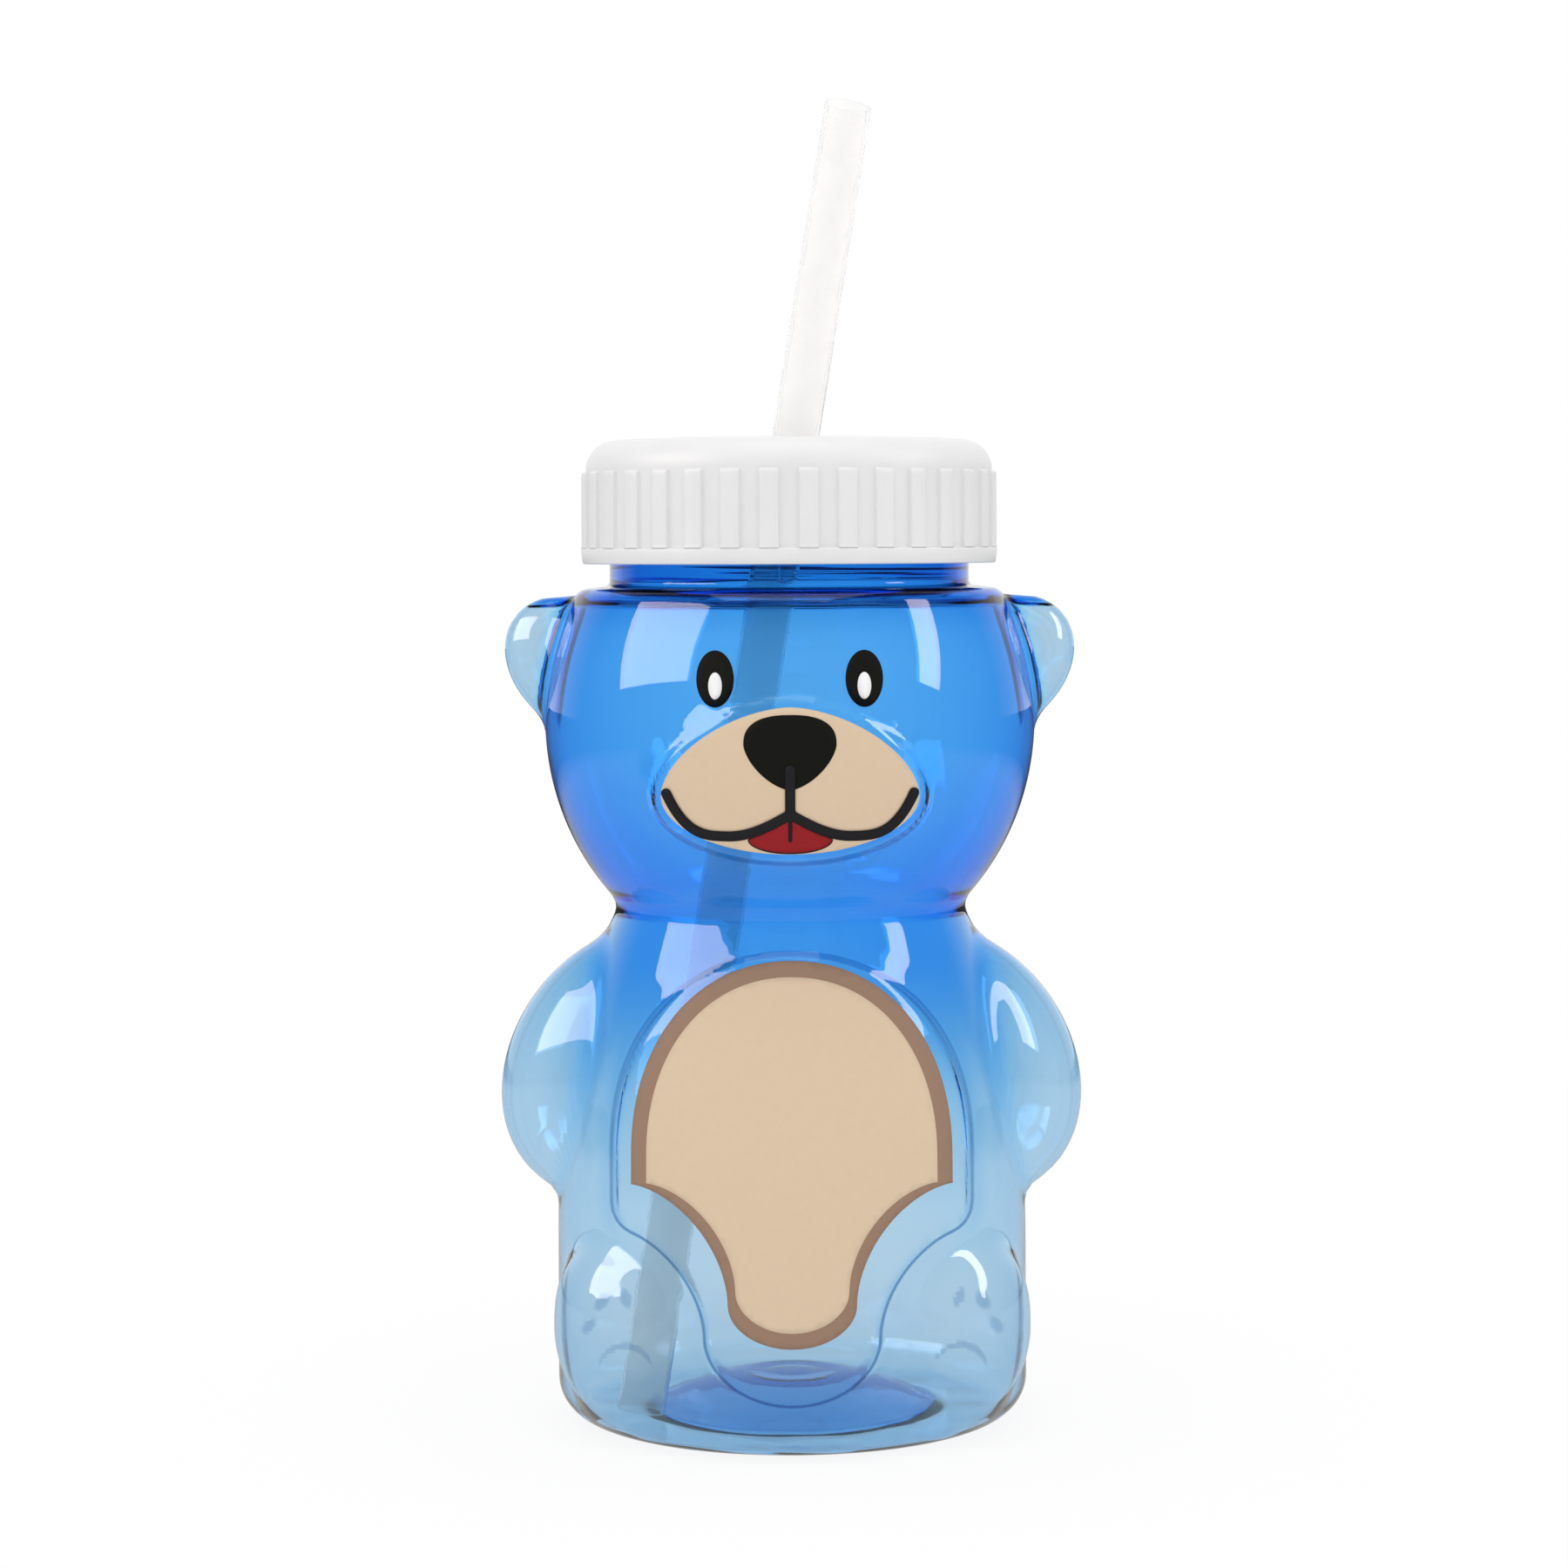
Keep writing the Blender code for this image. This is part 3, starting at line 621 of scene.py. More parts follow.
def base_profile(grow):
    """The base's outline as rows: its corner, the standing ring, and the dome to its middle."""
    ring = TORSO_RADIUS - BASE_CORNER
    rows = []
    for a in np.radians(np.linspace(0, -90, 11))[1:]:
        wall = np.interp(-math.sin(a), CORNER_SINES, CORNER_WALLS) if grow else 0
        reach = BASE_CORNER - wall
        rows.append((ring + reach * math.cos(a), BASE_CORNER + reach * math.sin(a)))
    push_up = ring - RING_WIDTH
    dome = (push_up**2 + PUSH_UP**2) / (2 * PUSH_UP)
    centre = PUSH_UP - dome
    wall, ring_wall = (DOME_WALL, RING_WALL) if grow else (0, 0)
    rim = math.sqrt((dome + wall) ** 2 - (wall - centre) ** 2)
    rows += [(ring - (ring - rim - DOME_EDGE) * share, ring_wall) for share in RING_SHARES]
    inward = np.linspace(rim - DOME_FIRST_ROW, DOME_EDGE, DOME_ROWS - 3).tolist()
    for radius in [rim, rim - DOME_EDGE] + inward + [0]:
        rise = centre + math.sqrt((dome + wall) ** 2 - radius**2)
        gate = GATE_DEPTH * float(soft_step((GATE_RADIUS - radius) / GATE_EDGE + 0.5))
        rows.append((radius, rise + DOME_EDGE_RISE * (radius == rim) - gate))
    return rows


def shell_profile(grow, neck, coarse):
    """The shell's outline from the neck's top to the base's middle, as (radius, height) rows."""
    foot, shoulder = NECK_FOOT + grow, SHOULDER + grow
    top = NECK_TOP - RIM_ROUND
    turn = np.radians(np.linspace(90, 0, 5))
    rim = neck - RIM_ROUND
    rows = [(rim + RIM_ROUND * math.cos(a), top + RIM_ROUND * math.sin(a)) for a in turn]
    if grow:
        rows = [(2 * neck - r, z) for r, z in rows]
    hidden = 5 if grow else round(NECK_HIDDEN_ROWS / coarse)
    shown = round(NECK_SHOWN_ROWS / coarse) + 1
    heights = np.linspace(top, NECK_SHOWN, hidden)[1:].tolist()
    heights += np.linspace(NECK_SHOWN, foot + NECK_FILLET, shown)[1:].tolist()
    rows += [(neck, z) for z in heights]
    for a in np.radians(np.linspace(0, 90, 5))[1:]:
        across, up = 1 - math.cos(a), 1 - math.sin(a)
        rows.append((neck + NECK_FILLET * across, foot + NECK_FILLET * up))
    corner = float(body_radius(shoulder, grow))
    rise = SHOULDER_RISE * SHOULDER_ROUND / (corner - neck)
    inward = (corner - SHOULDER_ROUND, shoulder + rise)
    down = shoulder - SHOULDER_ROUND
    rows += [((rows[-1][0] + inward[0]) / 2, (rows[-1][1] + inward[1]) / 2)]
    rows += bent(inward, (corner, shoulder), (float(body_radius(down, grow)), down), 6)
    rows += [(float(body_radius(z, grow)), z) for z in body_heights(down, coarse)]
    return np.array(rows + base_profile(grow))


def column_angles(coarse):
    """Angles round the axis from the front, closer together at the pads' edges and at the ears."""
    half = []
    start = 0
    for end, step in COLUMN_STEPS:
        half += np.linspace(start, end, round((end - start) / step / coarse) + 1)[:-1].tolist()
        start = end
    half.append(start)
    return np.radians(half + [-angle for angle in reversed(half[1:])][1:])


def thread_rise(angle, z):
    """The neck's thread: one helical ridge that runs out at both ends."""
    turns = np.mod(angle, math.tau) / math.tau
    rise = np.zeros(np.broadcast(angle, z).shape)
    for lap in range(4):
        along = turns + lap
        centre = NECK_FOOT + THREAD_START + THREAD_PITCH * along
        ends = soft_step(along / THREAD_RUNOUT) * soft_step((THREAD_TURNS - along) / THREAD_RUNOUT)
        ridge = soft_step((1 - np.abs(z - centre) / THREAD_HALF_WIDTH) * THREAD_STEEPNESS)
        rise = np.maximum(rise, THREAD_RISE * ridge * ends)
    return rise


def neck_mark(radius, angle):
    """The gate mark's line down the neck's front, from 0 to 1."""
    across = (radius * np.sin(angle) - NECK_MARK_X) / NECK_MARK_WIDTH
    return np.exp(-(across**2)) * (np.cos(angle) > 0)


def inner_relief(radius, angle, z):
    """The inner skin's radius and height, with what the moulding left there in uneven waves."""
    wave = 1 + 0.35 * np.sin(5 * angle) * np.sin(11 * angle + 1)
    bead = np.exp(-(((z - SHOULDER_BEAD_HEIGHT) / SHOULDER_BEAD_WIDTH) ** 2))
    radius = radius - SHOULDER_BEAD * wave * bead * (radius > SHOULDER_BEAD_INNER)
    streaks = np.sin(5.1 * z + 1.5 * np.sin(2 * angle))
    streaks = streaks + 0.6 * np.sin(9.3 * z + np.sin(3 * angle + 1))
    on_neck = (z > NECK_FOOT - SHOULDER_RISE) & (z < NECK_SHOWN + 1)
    radius = radius + NECK_STREAKS * streaks * on_neck
    ripple = np.sin(1.7 * radius + 2 * np.sin(4 * angle)) * np.sin(9 * angle + 0.2 * radius)
    low = np.interp(z, BASE_RIPPLE_HEIGHTS, (1, 1, 0)) * (radius > BASE_RIPPLE_INNER)
    return radius, z + BASE_RIPPLE * ripple * low


def shell_skin(grow, neck, coarse, angles):
    """One side of the shell's wall in rows: its points, its tint, and its place across the painted
    shade line.
    """
    rows = shell_profile(grow, neck, coarse)
    angle, z = np.meshgrid(angles, rows[:, 1])
    radius = np.repeat(rows[:, :1], len(angles), axis=1)
    solved = (rows[:, 1] < SHOULDER + grow - SHOULDER_ROUND + TOUCH) & (rows[:, 1] > FOOT_LOWEST)
    solved &= np.arange(len(rows)) < len(rows) - len(RING_SHARES) - DOME_ROWS
    radius[solved] = shell_radius(angle[solved], z[solved], grow)
    if grow:
        radius, z = inner_relief(radius, angle, z)
    else:
        on_neck = (rows[:, 0] < neck + TOUCH) & (rows[:, 1] > NECK_FOOT + NECK_FILLET)
        on_neck &= rows[:, 1] < NECK_TOP - RIM_ROUND
        radius[on_neck] += thread_rise(angle[on_neck], z[on_neck])
        radius[on_neck] += NECK_MARK_RISE * neck_mark(radius, angle)[on_neck]
    # Partly painted shade: greyer and darker down to the base, deepest at the neck and on the dome
    tint = np.interp(z, TINT_HEIGHTS, TINTS)
    tint[-DOME_ROWS:] = DOME_TINT
    limb = solved[:, None] & (radius > body_radius(z, grow) + LIMB_PROUD)
    tint = np.where(limb, np.maximum(tint, LIMB_TINT), tint)
    points = round_axis(radius, angle, z)
    x = points[..., 0]
    front = (np.cos(angle) > SHADE_LINE_FRONT) & (z > SHADE_LINE_HEIGHTS[0]) & (z < SHADE_LINE_HEIGHTS[1])
    # Painted shade: a dark line along the pads' soft edges, thinning up the muzzle
    line = SHADE_LINE_MIDDLE + np.where(front, shade_line_distance(x, z), SHADE_LINE_NONE)
    # Painted shade on the feet's relief marks, on the clear side of the same ramp
    paw_shade = paw_marks(x, z) * (front & (z < PAW_TOP))
    line = np.where(paw_shade > 0, np.maximum(line, SHADE_LINE_CLEAR_FROM + PAW_SHADE * paw_shade), line)
    return points, tint, line


def blue_plastic():
    """Clear blue plastic: its wall absorbs, so it is deepest where thick or edge on; painted shade
    too.
    """
    clear = {"IOR": 1.46, "Transmission_Weight": 1.0}
    material, tree, shader = new_material("blue_clear_plastic", 0.03, **clear)
    # The tint by height is partly painted shade: greyer to the base, deepest at the neck and dome
    tint_and_shade = add_node(tree, "ShaderNodeAttribute", attribute_name="tint_and_shade").outputs["Fac"]
    # The rim attribute and its ramp give painted shade along the pads' edges and on the feet's
    # relief
    rim = add_node(tree, "ShaderNodeAttribute", attribute_name="rim").outputs["Fac"]
    line = ramp(tree, rim, SHADE_LINE_STOPS)
    tint = add_node(tree, "ShaderNodeMix", data_type="RGBA", blend_type="MULTIPLY")
    tint.inputs["Factor"].default_value = 1.0
    tree.links.new(ramp(tree, tint_and_shade, TINT_STOPS), tint.inputs["A"])
    tree.links.new(line, tint.inputs["B"])
    tree.links.new(tint.outputs["Result"], shader.inputs["Base Color"])
    bump(tree, shader, noise(tree, 60, 1.0), 0.2, 0.12)
    colour = (0.09, 0.65, 0.965, 1)
    absorption = add_node(tree, "ShaderNodeVolumeAbsorption", Color=colour, Density=1000.0)
    tree.links.new(absorption.outputs["Volume"], tree.nodes["Material Output"].inputs["Volume"])
    return material


def joined(outer, inner):
    """Both skins' values by vertex, where a skin's last row is the one point at its pole."""
    parts = []
    for skin in (outer, inner):
        parts += [skin[:-1].reshape(-1, *skin.shape[2:]), skin[-1, :1]]
    return np.concatenate(parts)


def build_shell():
    """The blown shell with its real wall: an outer and an inner skin that meet at the rim."""
    coarse = 1 if FINE else 2
    angles = column_angles(coarse)
    count = len(angles)
    outer = shell_skin(0, neck_radius(), coarse, angles)
    inner = shell_skin(-WALL, neck_radius() - NECK_WALL, coarse, angles)
    points, tint, line = (joined(*pair) for pair in zip(outer, inner))
    faces = []
    first = 0
    for skin, inward in ((outer[0], False), (inner[0], True)):
        rows = len(skin) - 1
        faces += grid_faces(rows, count, first, inward).tolist()
        pole, last = first + rows * count, first + (rows - 1) * count
        for i in range(count):
            fan = [last + i, pole, last + (i + 1) % count]
            faces.append(fan[::-1] if inward else fan)
        first = pole + 1
    inner_first = (len(outer[0]) - 1) * count + 1
    for i in range(count):
        beside = (i + 1) % count
        faces.append([i, beside, inner_first + beside, inner_first + i])
    material = blue_plastic()
    shell = make_mesh("bottle_shell", points, faces, material, "bottle", ["bottle_body"])
    # The tint is partly painted shade, and the rim values are painted shade round the pads and paws
    for label, values in (("tint_and_shade", tint), ("rim", line)):
        attribute = shell.data.attributes.new(label, "FLOAT", "POINT")
        attribute.data.foreach_set("value", values.astype(np.float32))


def neck_radius():
    share = SHOULDER_ABOVE_HEAD_CENTRE / HEAD_HALF_HEIGHT
    return HEAD_RADIUS * math.sqrt(1 - share**2) - SHOULDER_WIDTH


# ---------------------------------------------------------------- prints


def ink(name, colour, roughness):
    material, tree, shader = new_material(name, roughness, Specular_IOR_Level=0.05)
    mottled(tree, shader, colour, 0.008, 900)
    bump(tree, shader, noise(tree, 4000, 3.0), 0.15, 0.01)
    return material


def print_film(name, outline, rise, level, material, replaces):
    """A thin film of one colour on the shell's front, with the exact outline."""
    step = FILM_STEP if FINE else 2 * FILM_STEP
    edge = spaced(outline, FILM_EDGE_STEP)
    xs, zs = np.array(edge).T
    grid = np.meshgrid(np.arange(xs.min(), xs.max(), step), np.arange(zs.min(), zs.max(), step))
    x, z = grid[0].ravel(), grid[1].ravel()
    within = distance_inside(x, z, edge) > FILM_EDGE_CLEAR * step
    flat = [Vector(point) for point in [*edge, *zip(x[within], z[within])]]
    loop = list(range(len(edge)))
    verts, _, triangles, *_ = delaunay_2d_cdt(flat, [], [loop], 1, 1e-6)
    plane = np.array([tuple(vert) for vert in verts])
    skins = []
    for lift in (FILM_GAP + (level + 1) * FILM, FILM_GAP + level * FILM):
        radius = body_radius(plane[:, 1], 0) + rise + lift
        depth = -np.sqrt(np.maximum(radius**2 - plane[:, 0] ** 2, 0))
        skins.append(np.stack([plane[:, 0], depth, plane[:, 1]], axis=-1))
    count = len(plane)
    top = [list(triangle) for triangle in triangles]
    below = [[count + i for i in reversed(triangle)] for triangle in top]
    sides = {(a, b) for t in top for a, b in zip(t, t[1:] + t[:1])}
    rims = [[b, a, count + a, count + b] for a, b in sides if (b, a) not in sides]
    faces = top + below + rims
    return make_mesh(name, np.concatenate(skins), faces, material, "bottle", replaces)


def spaced(outline, step):
    """The outline with points no further apart than a step."""
    points = []
    for start, end in zip(outline, outline[1:] + outline[:1]):
        start, end = np.array(start), np.array(end)
        count = max(1, math.ceil(float(np.linalg.norm(end - start)) / step))
        if np.linalg.norm(end - start) > 1e-6:
            points += [tuple((start + (end - start) * i / count).tolist()) for i in range(count)]
    return points


def mouth_outline():
    """Two sagging arcs that meet below the nose, and the line up to the nose, with round ends."""
    reach = MOUTH_STROKE / 2
    share = np.linspace(0, 1, 41)
    lift = MOUTH_LIFT * np.maximum(0, 2 * share - 1) ** MOUTH_LIFT_POWER
    sag = MOUTH_SAG * np.sin(math.pi / 2 * np.minimum(1, 2 * share))
    path = np.stack([MOUTH_HALF_WIDTH * share, MOUTH - sag + lift], axis=1)
    along = np.gradient(path, axis=0)
    along /= np.linalg.norm(along, axis=1)[:, None]
    side = np.stack([-along[:, 1], along[:, 0]], axis=1) * reach
    above = [point for point in (path + side).tolist() if point[0] > reach]
    below = (path - side)[:0:-1].tolist()
    end = []
    (x, z), (dx, dz) = path[-1], side[-1]
    for turn in np.linspace(0, math.pi, 10)[1:-1]:
        c, s = math.cos(turn), math.sin(turn)
        end.append((x + dx * c + dz * s, z + dz * c - dx * s))
    fork = (reach, above[0][1] + MOUTH_FORK)
    line_end = superellipse((0, MOUTH + MOUTH_LINE), (reach, reach), 2, 90, 0, 8)
    middle = (0, MOUTH - reach / along[0, 0])
    arc = [tuple(point) for point in above + end + below]
    return mirrored(line_end + [fork] + arc + [middle])


def build_prints():
    inks = {name: ink(name, *look) for name, look in INKS.items()}

    def film(name, outline, rise, level, slot, *replaces):
        print_film(name, outline, rise, level, inks[slot], list(replaces))

    face = MUZZLE_RISE
    line_end = superellipse((0, TONGUE_LINE_END), (TONGUE_LINE, TONGUE_LINE), 2, 0, -90, 6)
    tongue_line = mirrored([(0, MOUTH), (TONGUE_LINE, MOUTH)] + line_end)
    muzzle = oval((0, MUZZLE), *MUZZLE_SIZES, MUZZLE_POWER)
    film("muzzle_film", muzzle, face, 0, "tan_print", "muzzle_print")
    film("nose_film", oval((0, NOSE), *NOSE_OVAL), face, 1, "black_print", "nose_print")
    film("tongue_edge_film", oval((0, TONGUE), *TONGUE_EDGE_OVAL), face, 1, "dark_print")
    film("tongue_film", oval((0, TONGUE), *TONGUE_OVAL), face, 2, "red_print", "tongue_print")
    film("tongue_line_film", tongue_line, face, 3, "dark_print")
    film("mouth_film", mouth_outline(), face, 4, "dark_print", "mouth_print")
    for side, label in ((1, "right"), (-1, "left")):
        eye = oval((side * EYE_X, EYE_Z), *EYE_OVAL)
        glint = oval((side * EYE_X, EYE_Z - GLINT_DROP), *GLINT_OVAL)
        film(f"eye_film_{label}", eye, 0, 0, "black_print", f"eye_print_{label}")
        film(f"glint_film_{label}", glint, 0, 1, "white_print", f"eye_glint_{label}")
    border, field = bib(*BELLY_BORDER), bib(*BELLY_FIELD)
    film("belly_border_film", border, BELLY_RISE, 0, "brown_print", "belly_border_print")
    film("belly_film", field, BELLY_RISE, 1, "tan_print", "belly_print")


# ---------------------------------------------------------------- lid, seal and straw


def white_plastic():
    material, tree, shader = new_material("white_plastic", 0.42, IOR=1.45, Specular_IOR_Level=0.4)
    mottled(tree, shader, (0.81, 0.81, 0.81), 0.01, 120)
    bump(tree, shader, noise(tree, 700, 4.0), 0.12, 0.03)
    return material


def lid_profile():
    """Rows of (radius, height, share of the rib's rise) from the straw's hole round to its foot."""
    skirt_inner = neck_radius() + SKIRT_CLEARANCE
    skirt = skirt_inner + SKIRT_WALL
    corner_z = LID_TOP - LID_CROWN - LID_CORNER
    underside = LID_TOP - LID_TOP_WALL
    flat = skirt - LID_CORNER
    rows = [(STRAW_HOLE + out, LID_TOP - down, 0) for out, down in HOLE_EDGE]
    for r in np.linspace(STRAW_HOLE + 1, flat, 10):
        share = (r - STRAW_HOLE) / (flat - STRAW_HOLE)
        rows.append((r, LID_TOP - LID_CROWN * share**2, 0))
    for a in np.radians(np.linspace(90, 0, 13))[1:]:
        rows.append((flat + LID_CORNER * math.cos(a), corner_z + LID_CORNER * math.sin(a), 0))
    top = corner_z - RIB_TOP_GAP
    rows += [(skirt, top - down, share) for down, share in RIB_TOP]
    band_top = LID_BOTTOM + BAND_HEIGHT
    sides = np.linspace(top - RIB_SIDES[0], band_top + RIB_SIDES[1], 8)
    rows += [(skirt, z, 1) for z in sides]
    rows += [(skirt + out, band_top + up, 1) for out, up in RIB_FOOT_EDGE]
    band = skirt + BAND_RISE
    foot = band - BAND_DRAFT
    rows += [(band - out, band_top - down, 0) for out, down in BAND_EDGE]
    rows += [(foot - out, LID_BOTTOM + up, 0) for out, up in FOOT_EDGE]
    rows += [(skirt_inner + out, LID_BOTTOM + up, 0) for out, up in FOOT_INNER_EDGE]
    sides = np.linspace(LID_BOTTOM + SKIRT_SIDES[0], underside - SKIRT_SIDES[1], 6)
    rows += [(skirt_inner, z, 0) for z in sides]
    rows += [(skirt_inner - out, underside - down, 0) for out, down in TOP_INNER_EDGE]
    rows += [(STRAW_HOLE + out, underside + up, 0) for out, up in reversed(HOLE_EDGE)]
    return rows


def build_lid():
    """The moulded lid: a crowned top, a round shoulder, soft-edged grip ribs, and a plain band."""
    pitch = 360 / RIB_COUNT
    rib_circle = neck_radius() + SKIRT_CLEARANCE + SKIRT_WALL + RIB_RISE
    half = math.degrees(RIB_WIDTH / 2 / rib_circle)
    edge = [(half + place * RIB_SOFT, share) for place, share in RIB_EDGE]
    columns = [(-offset, share) for offset, share in reversed(edge)]
    columns += [(0, 1)] + edge + [(pitch / 2, 0)]
    angles, ribs = [], []
    for i in range(RIB_COUNT):
        centre = (i + 0.5) * pitch
        angles += [centre + offset for offset, _ in columns]
        ribs += [share for _, share in columns]
    angle, rib = np.radians(angles), np.array(ribs)
    rows = np.array(lid_profile())
    radius = rows[:, :1] + RIB_RISE * rows[:, 2:] * rib[None, :]
    z = np.repeat(rows[:, 1:2], len(angle), axis=1)
    points = round_axis(radius, angle, z).reshape(-1, 3)
    faces = ring_faces(len(rows), len(angle))
    make_mesh("ribbed_lid", points, faces, white_plastic(), "lid", ["screw_lid"])


def dress_gasket():
    """The sealing ring keeps its CAD solid and gets a soft foam finish."""
    material, tree, shader = new_material("soft_white_seal", 0.65)
    mottled(tree, shader, (0.83, 0.83, 0.81), 0.03, 500)
    bump(tree, shader, noise(tree, 2500, 4.0), 0.3, 0.05)
    ring = frame["nodes"]["lid_gasket"]
    ring.data.materials.clear()
    ring.data.materials.append(material)


def straw_plastic():
    clear = {"IOR": 1.05, "Transmission_Weight": 0.86}
    material, tree, shader = new_material("white_straw_plastic", 0.25, **clear)
    mottled(tree, shader, (0.945, 0.945, 0.938), 0.01, 200)
    bump(tree, shader, noise(tree, 300, 2.0, (6, 6, 0.3)), 0.04, 0.03)
    return material


def build_straw():
    """An open tube with softly cut ends, along the line that its joint slides on."""
    low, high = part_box("drinking_straw")
    joint = next(joint for joint in frame["joints"] if joint["name"] == "straw_slide")
    axis = Vector(joint["axis"]).normalized()
    rise = (high.z - low.z) / MM - 2 * STRAW_RADIUS * math.sqrt(1 - axis.z**2)
    length = rise / axis.z
    middle = (low + high) / 2 / MM
    bore, soft, end = STRAW_RADIUS - STRAW_WALL, STRAW_SOFT, STRAW_END
    rows = [(STRAW_RADIUS - soft, length), (STRAW_RADIUS, length - soft)]
    rows += [(STRAW_RADIUS, z) for z in np.linspace(length - end, end, STRAW_ROWS)]
    rows += [(STRAW_RADIUS, soft), (STRAW_RADIUS - soft, 0), (bore + soft, 0), (bore, soft)]
    rows += [(bore, end), (bore, length - end), (bore, length - soft), (bore + soft, length)]
    rows = np.array(rows)
    turn = np.linspace(0, math.tau, STRAW_COLUMNS, endpoint=False)
    along = np.array(axis)
    across = np.cross(along, (0, 1, 0))
    across /= np.linalg.norm(across)
    beside = np.cross(along, across)
    ring = np.cos(turn)[:, None] * across - np.sin(turn)[:, None] * beside
    out, up = rows[:, 0][:, None, None], (rows[:, 1] - length / 2)[:, None, None]
    points = (out * ring[None] + up * along + np.array(middle)).reshape(-1, 3)
    faces = ring_faces(len(rows), len(turn))
    make_mesh("straw_tube", points, faces, straw_plastic(), "straw", ["drinking_straw"])


# ---------------------------------------------------------------- stage


def by_ray(tree, plain, white, in_gloss):
    """White to the camera and through plastic, its own picture in gloss, and plain to the rest."""
    path = add_node(tree, "ShaderNodeLightPath")
    seen = add_node(tree, "ShaderNodeMath", operation="MAXIMUM")
    tree.links.new(path.outputs["Is Camera Ray"], seen.inputs[0])
    tree.links.new(path.outputs["Is Transmission Ray"], seen.inputs[1])
    shown = plain
    for factor, shader in ((path.outputs["Is Glossy Ray"], in_gloss), (seen.outputs[0], white)):
        mix = add_node(tree, "ShaderNodeMixShader")
        tree.links.new(factor, mix.inputs[0])
        tree.links.new(shown, mix.inputs[1])
        tree.links.new(shader, mix.inputs[2])
        shown = mix.outputs[0]
    return shown


def map_range(tree, source, places, values):
    """A value that goes from one number to another between two places."""
    node = add_node(tree, "ShaderNodeMapRange", From_Min=places[0], From_Max=places[1])
    node.inputs["To Min"].default_value, node.inputs["To Max"].default_value = values
    tree.links.new(source, node.inputs["Value"])
    return node.outputs["Result"]


def build_floor():
    """A pale floor that keeps the shadow, whitens away from the object, and is a table in gloss."""
    mesh = bpy.data.meshes.new("floor")
    corner = ((-1, -1), (1, -1), (1, 1), (-1, 1))
    mesh.from_pydata([(FLOOR_REACH * x, FLOOR_REACH * y, 0) for x, y in corner], [], [(0, 1, 2, 3)])
    floor = bpy.data.objects.new("floor", mesh)
    floor.location.z = -FLOOR_DROP
    bpy.context.scene.collection.objects.link(floor)
    material = bpy.data.materials.new("pale_floor")
    material.use_nodes = True
    tree = material.node_tree
    tree.nodes.clear()
    output = add_node(tree, "ShaderNodeOutputMaterial")
    diffuse = add_node(tree, "ShaderNodeBsdfDiffuse", Color=FLOOR_COLOUR)
    place = add_node(tree, "ShaderNodeNewGeometry").outputs["Position"]
    away = add_node(tree, "ShaderNodeVectorMath", operation="LENGTH")
    tree.links.new(place, away.inputs[0])
    fade = map_range(tree, away.outputs["Value"], FLOOR_WHITENS, (FLOOR_WHITE, 1.0))
    white = add_node(tree, "ShaderNodeEmission", Color=WHITE)
    veil = add_node(tree, "ShaderNodeMixShader")
    tree.links.new(fade, veil.inputs[0])
    tree.links.new(diffuse.outputs[0], veil.inputs[1])
    tree.links.new(white.outputs[0], veil.inputs[2])
    table = add_node(tree, "ShaderNodeEmission", Color=WHITE)
    edge = map_range(tree, away.outputs["Value"], TABLE_EDGE, TABLE_GLOSS)
    tree.links.new(edge, table.inputs["Strength"])
    shown = by_ray(tree, diffuse.outputs[0], veil.outputs[0], table.outputs[0])
    tree.links.new(shown, output.inputs["Surface"])
    mesh.materials.append(material)


def build_world():
    """A plain white world, which gloss shows as dark in front and bright behind the object."""
    world = bpy.data.worlds.new("studio")
    bpy.context.scene.world = world
    world.use_nodes = True
    tree = world.node_tree
    tree.nodes.clear()
    output = add_node(tree, "ShaderNodeOutputWorld")
    plain = add_node(tree, "ShaderNodeBackground", Color=WHITE, Strength=FILL)
    white = add_node(tree, "ShaderNodeBackground", Color=WHITE, Strength=1.0)
    direction = add_node(tree, "ShaderNodeTexCoord").outputs["Generated"]
    split = add_node(tree, "ShaderNodeSeparateXYZ")
    tree.links.new(direction, split.inputs["Vector"])
    spread = map_range(tree, split.outputs["Y"], WORLD_EDGE, (0.0, 1.0))
    gloss = add_node(tree, "ShaderNodeBackground")
    shade = ramp(tree, spread, [(0.0, WORLD_DARK), (1.0, (1, 1, 1))])
    tree.links.new(shade, gloss.inputs["Color"])
    shown = by_ray(tree, plain.outputs[0], white.outputs[0], gloss.outputs[0])
    tree.links.new(shown, output.inputs["Surface"])


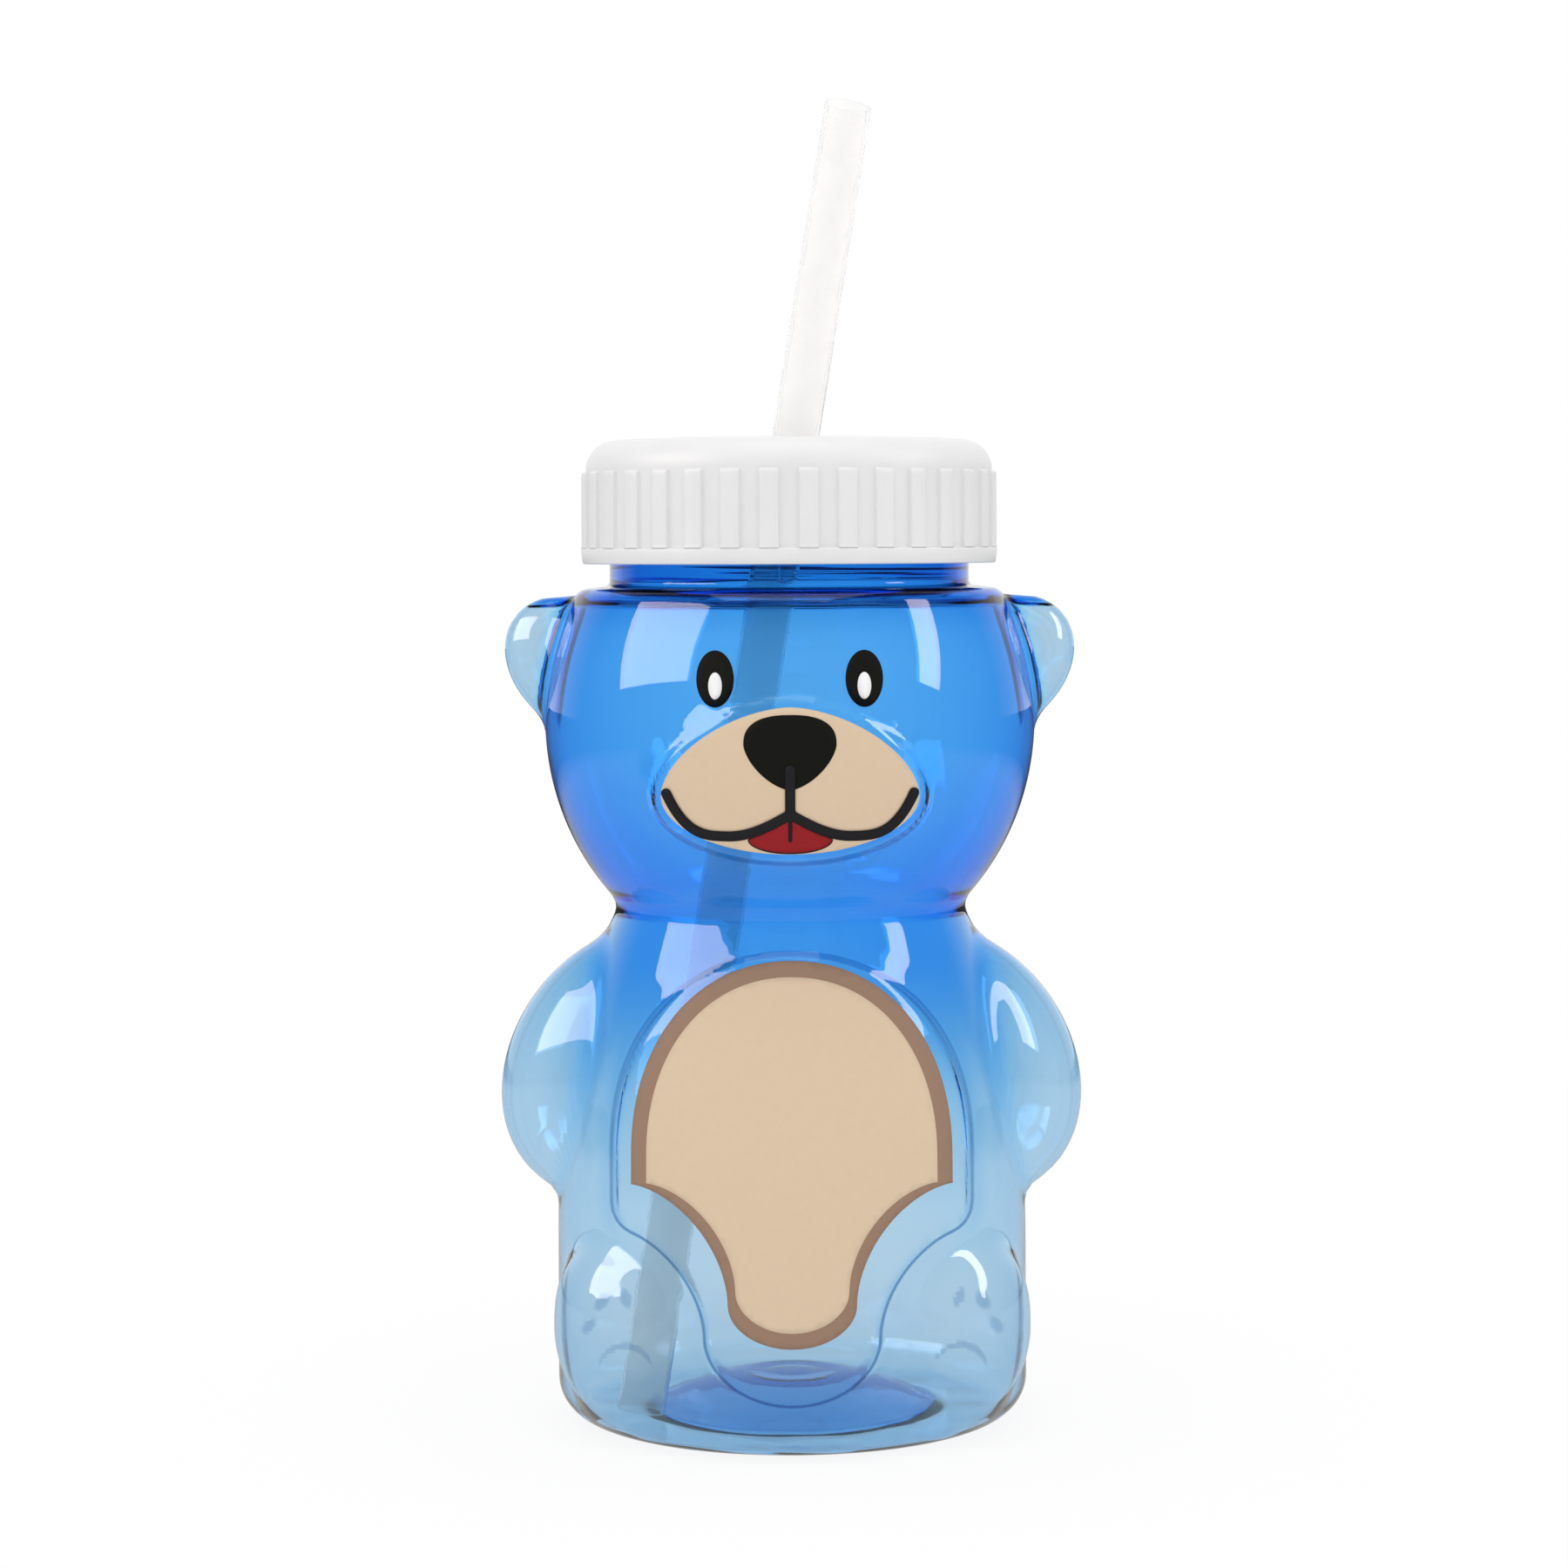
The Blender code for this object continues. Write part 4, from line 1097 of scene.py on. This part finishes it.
def softbox(name, direction, size, power, lean=0, colour=(1, 1, 1), gloss_only=False):
    """A rectangular lamp at an azimuth from the front towards +X and an elevation, leaning."""
    lamp = bpy.data.lights.new(name, "AREA")
    lamp.shape = "RECTANGLE"
    lamp.size, lamp.size_y = size
    lamp.energy = power
    lamp.color = colour
    holder = bpy.data.objects.new(name, lamp)
    around, up = map(math.radians, direction)
    level = math.cos(up)
    place = Vector((math.sin(around) * level, -math.cos(around) * level, math.sin(up)))
    holder.location = LAMP_DISTANCE * place + Vector((0, 0, LAMP_AIM))
    turn = Matrix.Rotation(math.radians(lean), 3, "Z")
    holder.rotation_euler = (place.to_track_quat("Z", "Y").to_matrix() @ turn).to_euler()
    holder.visible_diffuse = not gloss_only
    bpy.context.scene.collection.objects.link(holder)


def build_camera():
    data = bpy.data.cameras.new("camera")
    data.lens = FOCAL_LENGTH
    data.sensor_width = 36.0
    data.shift_x = SHIFT_X
    data.shift_y = SHIFT_Y
    data.clip_start = 0.01
    camera = bpy.data.objects.new("camera", data)
    camera.location = (0, -CAMERA_DISTANCE * MM, CAMERA_HEIGHT * MM)
    camera.rotation_euler = (math.pi / 2, CAMERA_ROLL, 0)
    bpy.context.scene.collection.objects.link(camera)
    bpy.context.scene.camera = camera


def corners(bounds):
    return [[float(value) for value in corner] for corner in bounds]


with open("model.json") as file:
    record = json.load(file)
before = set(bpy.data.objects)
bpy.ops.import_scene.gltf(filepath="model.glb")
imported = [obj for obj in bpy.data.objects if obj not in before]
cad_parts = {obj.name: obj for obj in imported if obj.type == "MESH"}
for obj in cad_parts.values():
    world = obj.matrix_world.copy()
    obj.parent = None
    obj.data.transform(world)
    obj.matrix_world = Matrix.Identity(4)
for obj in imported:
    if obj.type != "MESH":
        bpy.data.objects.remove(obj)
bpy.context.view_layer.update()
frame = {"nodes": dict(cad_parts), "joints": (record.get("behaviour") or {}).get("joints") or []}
build_shell()
build_prints()
build_lid()
dress_gasket()
build_straw()
build_floor()
build_world()
softbox("left_window", (-71, 29), (0.68, 0.56), 8.0, 12, (1.0, 0.82, 0.80), gloss_only=True)
softbox("right_window", (76, 29), (0.2, 0.65), 3.4, -25, (1.0, 0.84, 0.82), gloss_only=True)
softbox("top_light", (-10, 80), (0.8, 0.8), 2.5)
build_camera()
bpy.context.scene.view_settings.view_transform = "Standard"
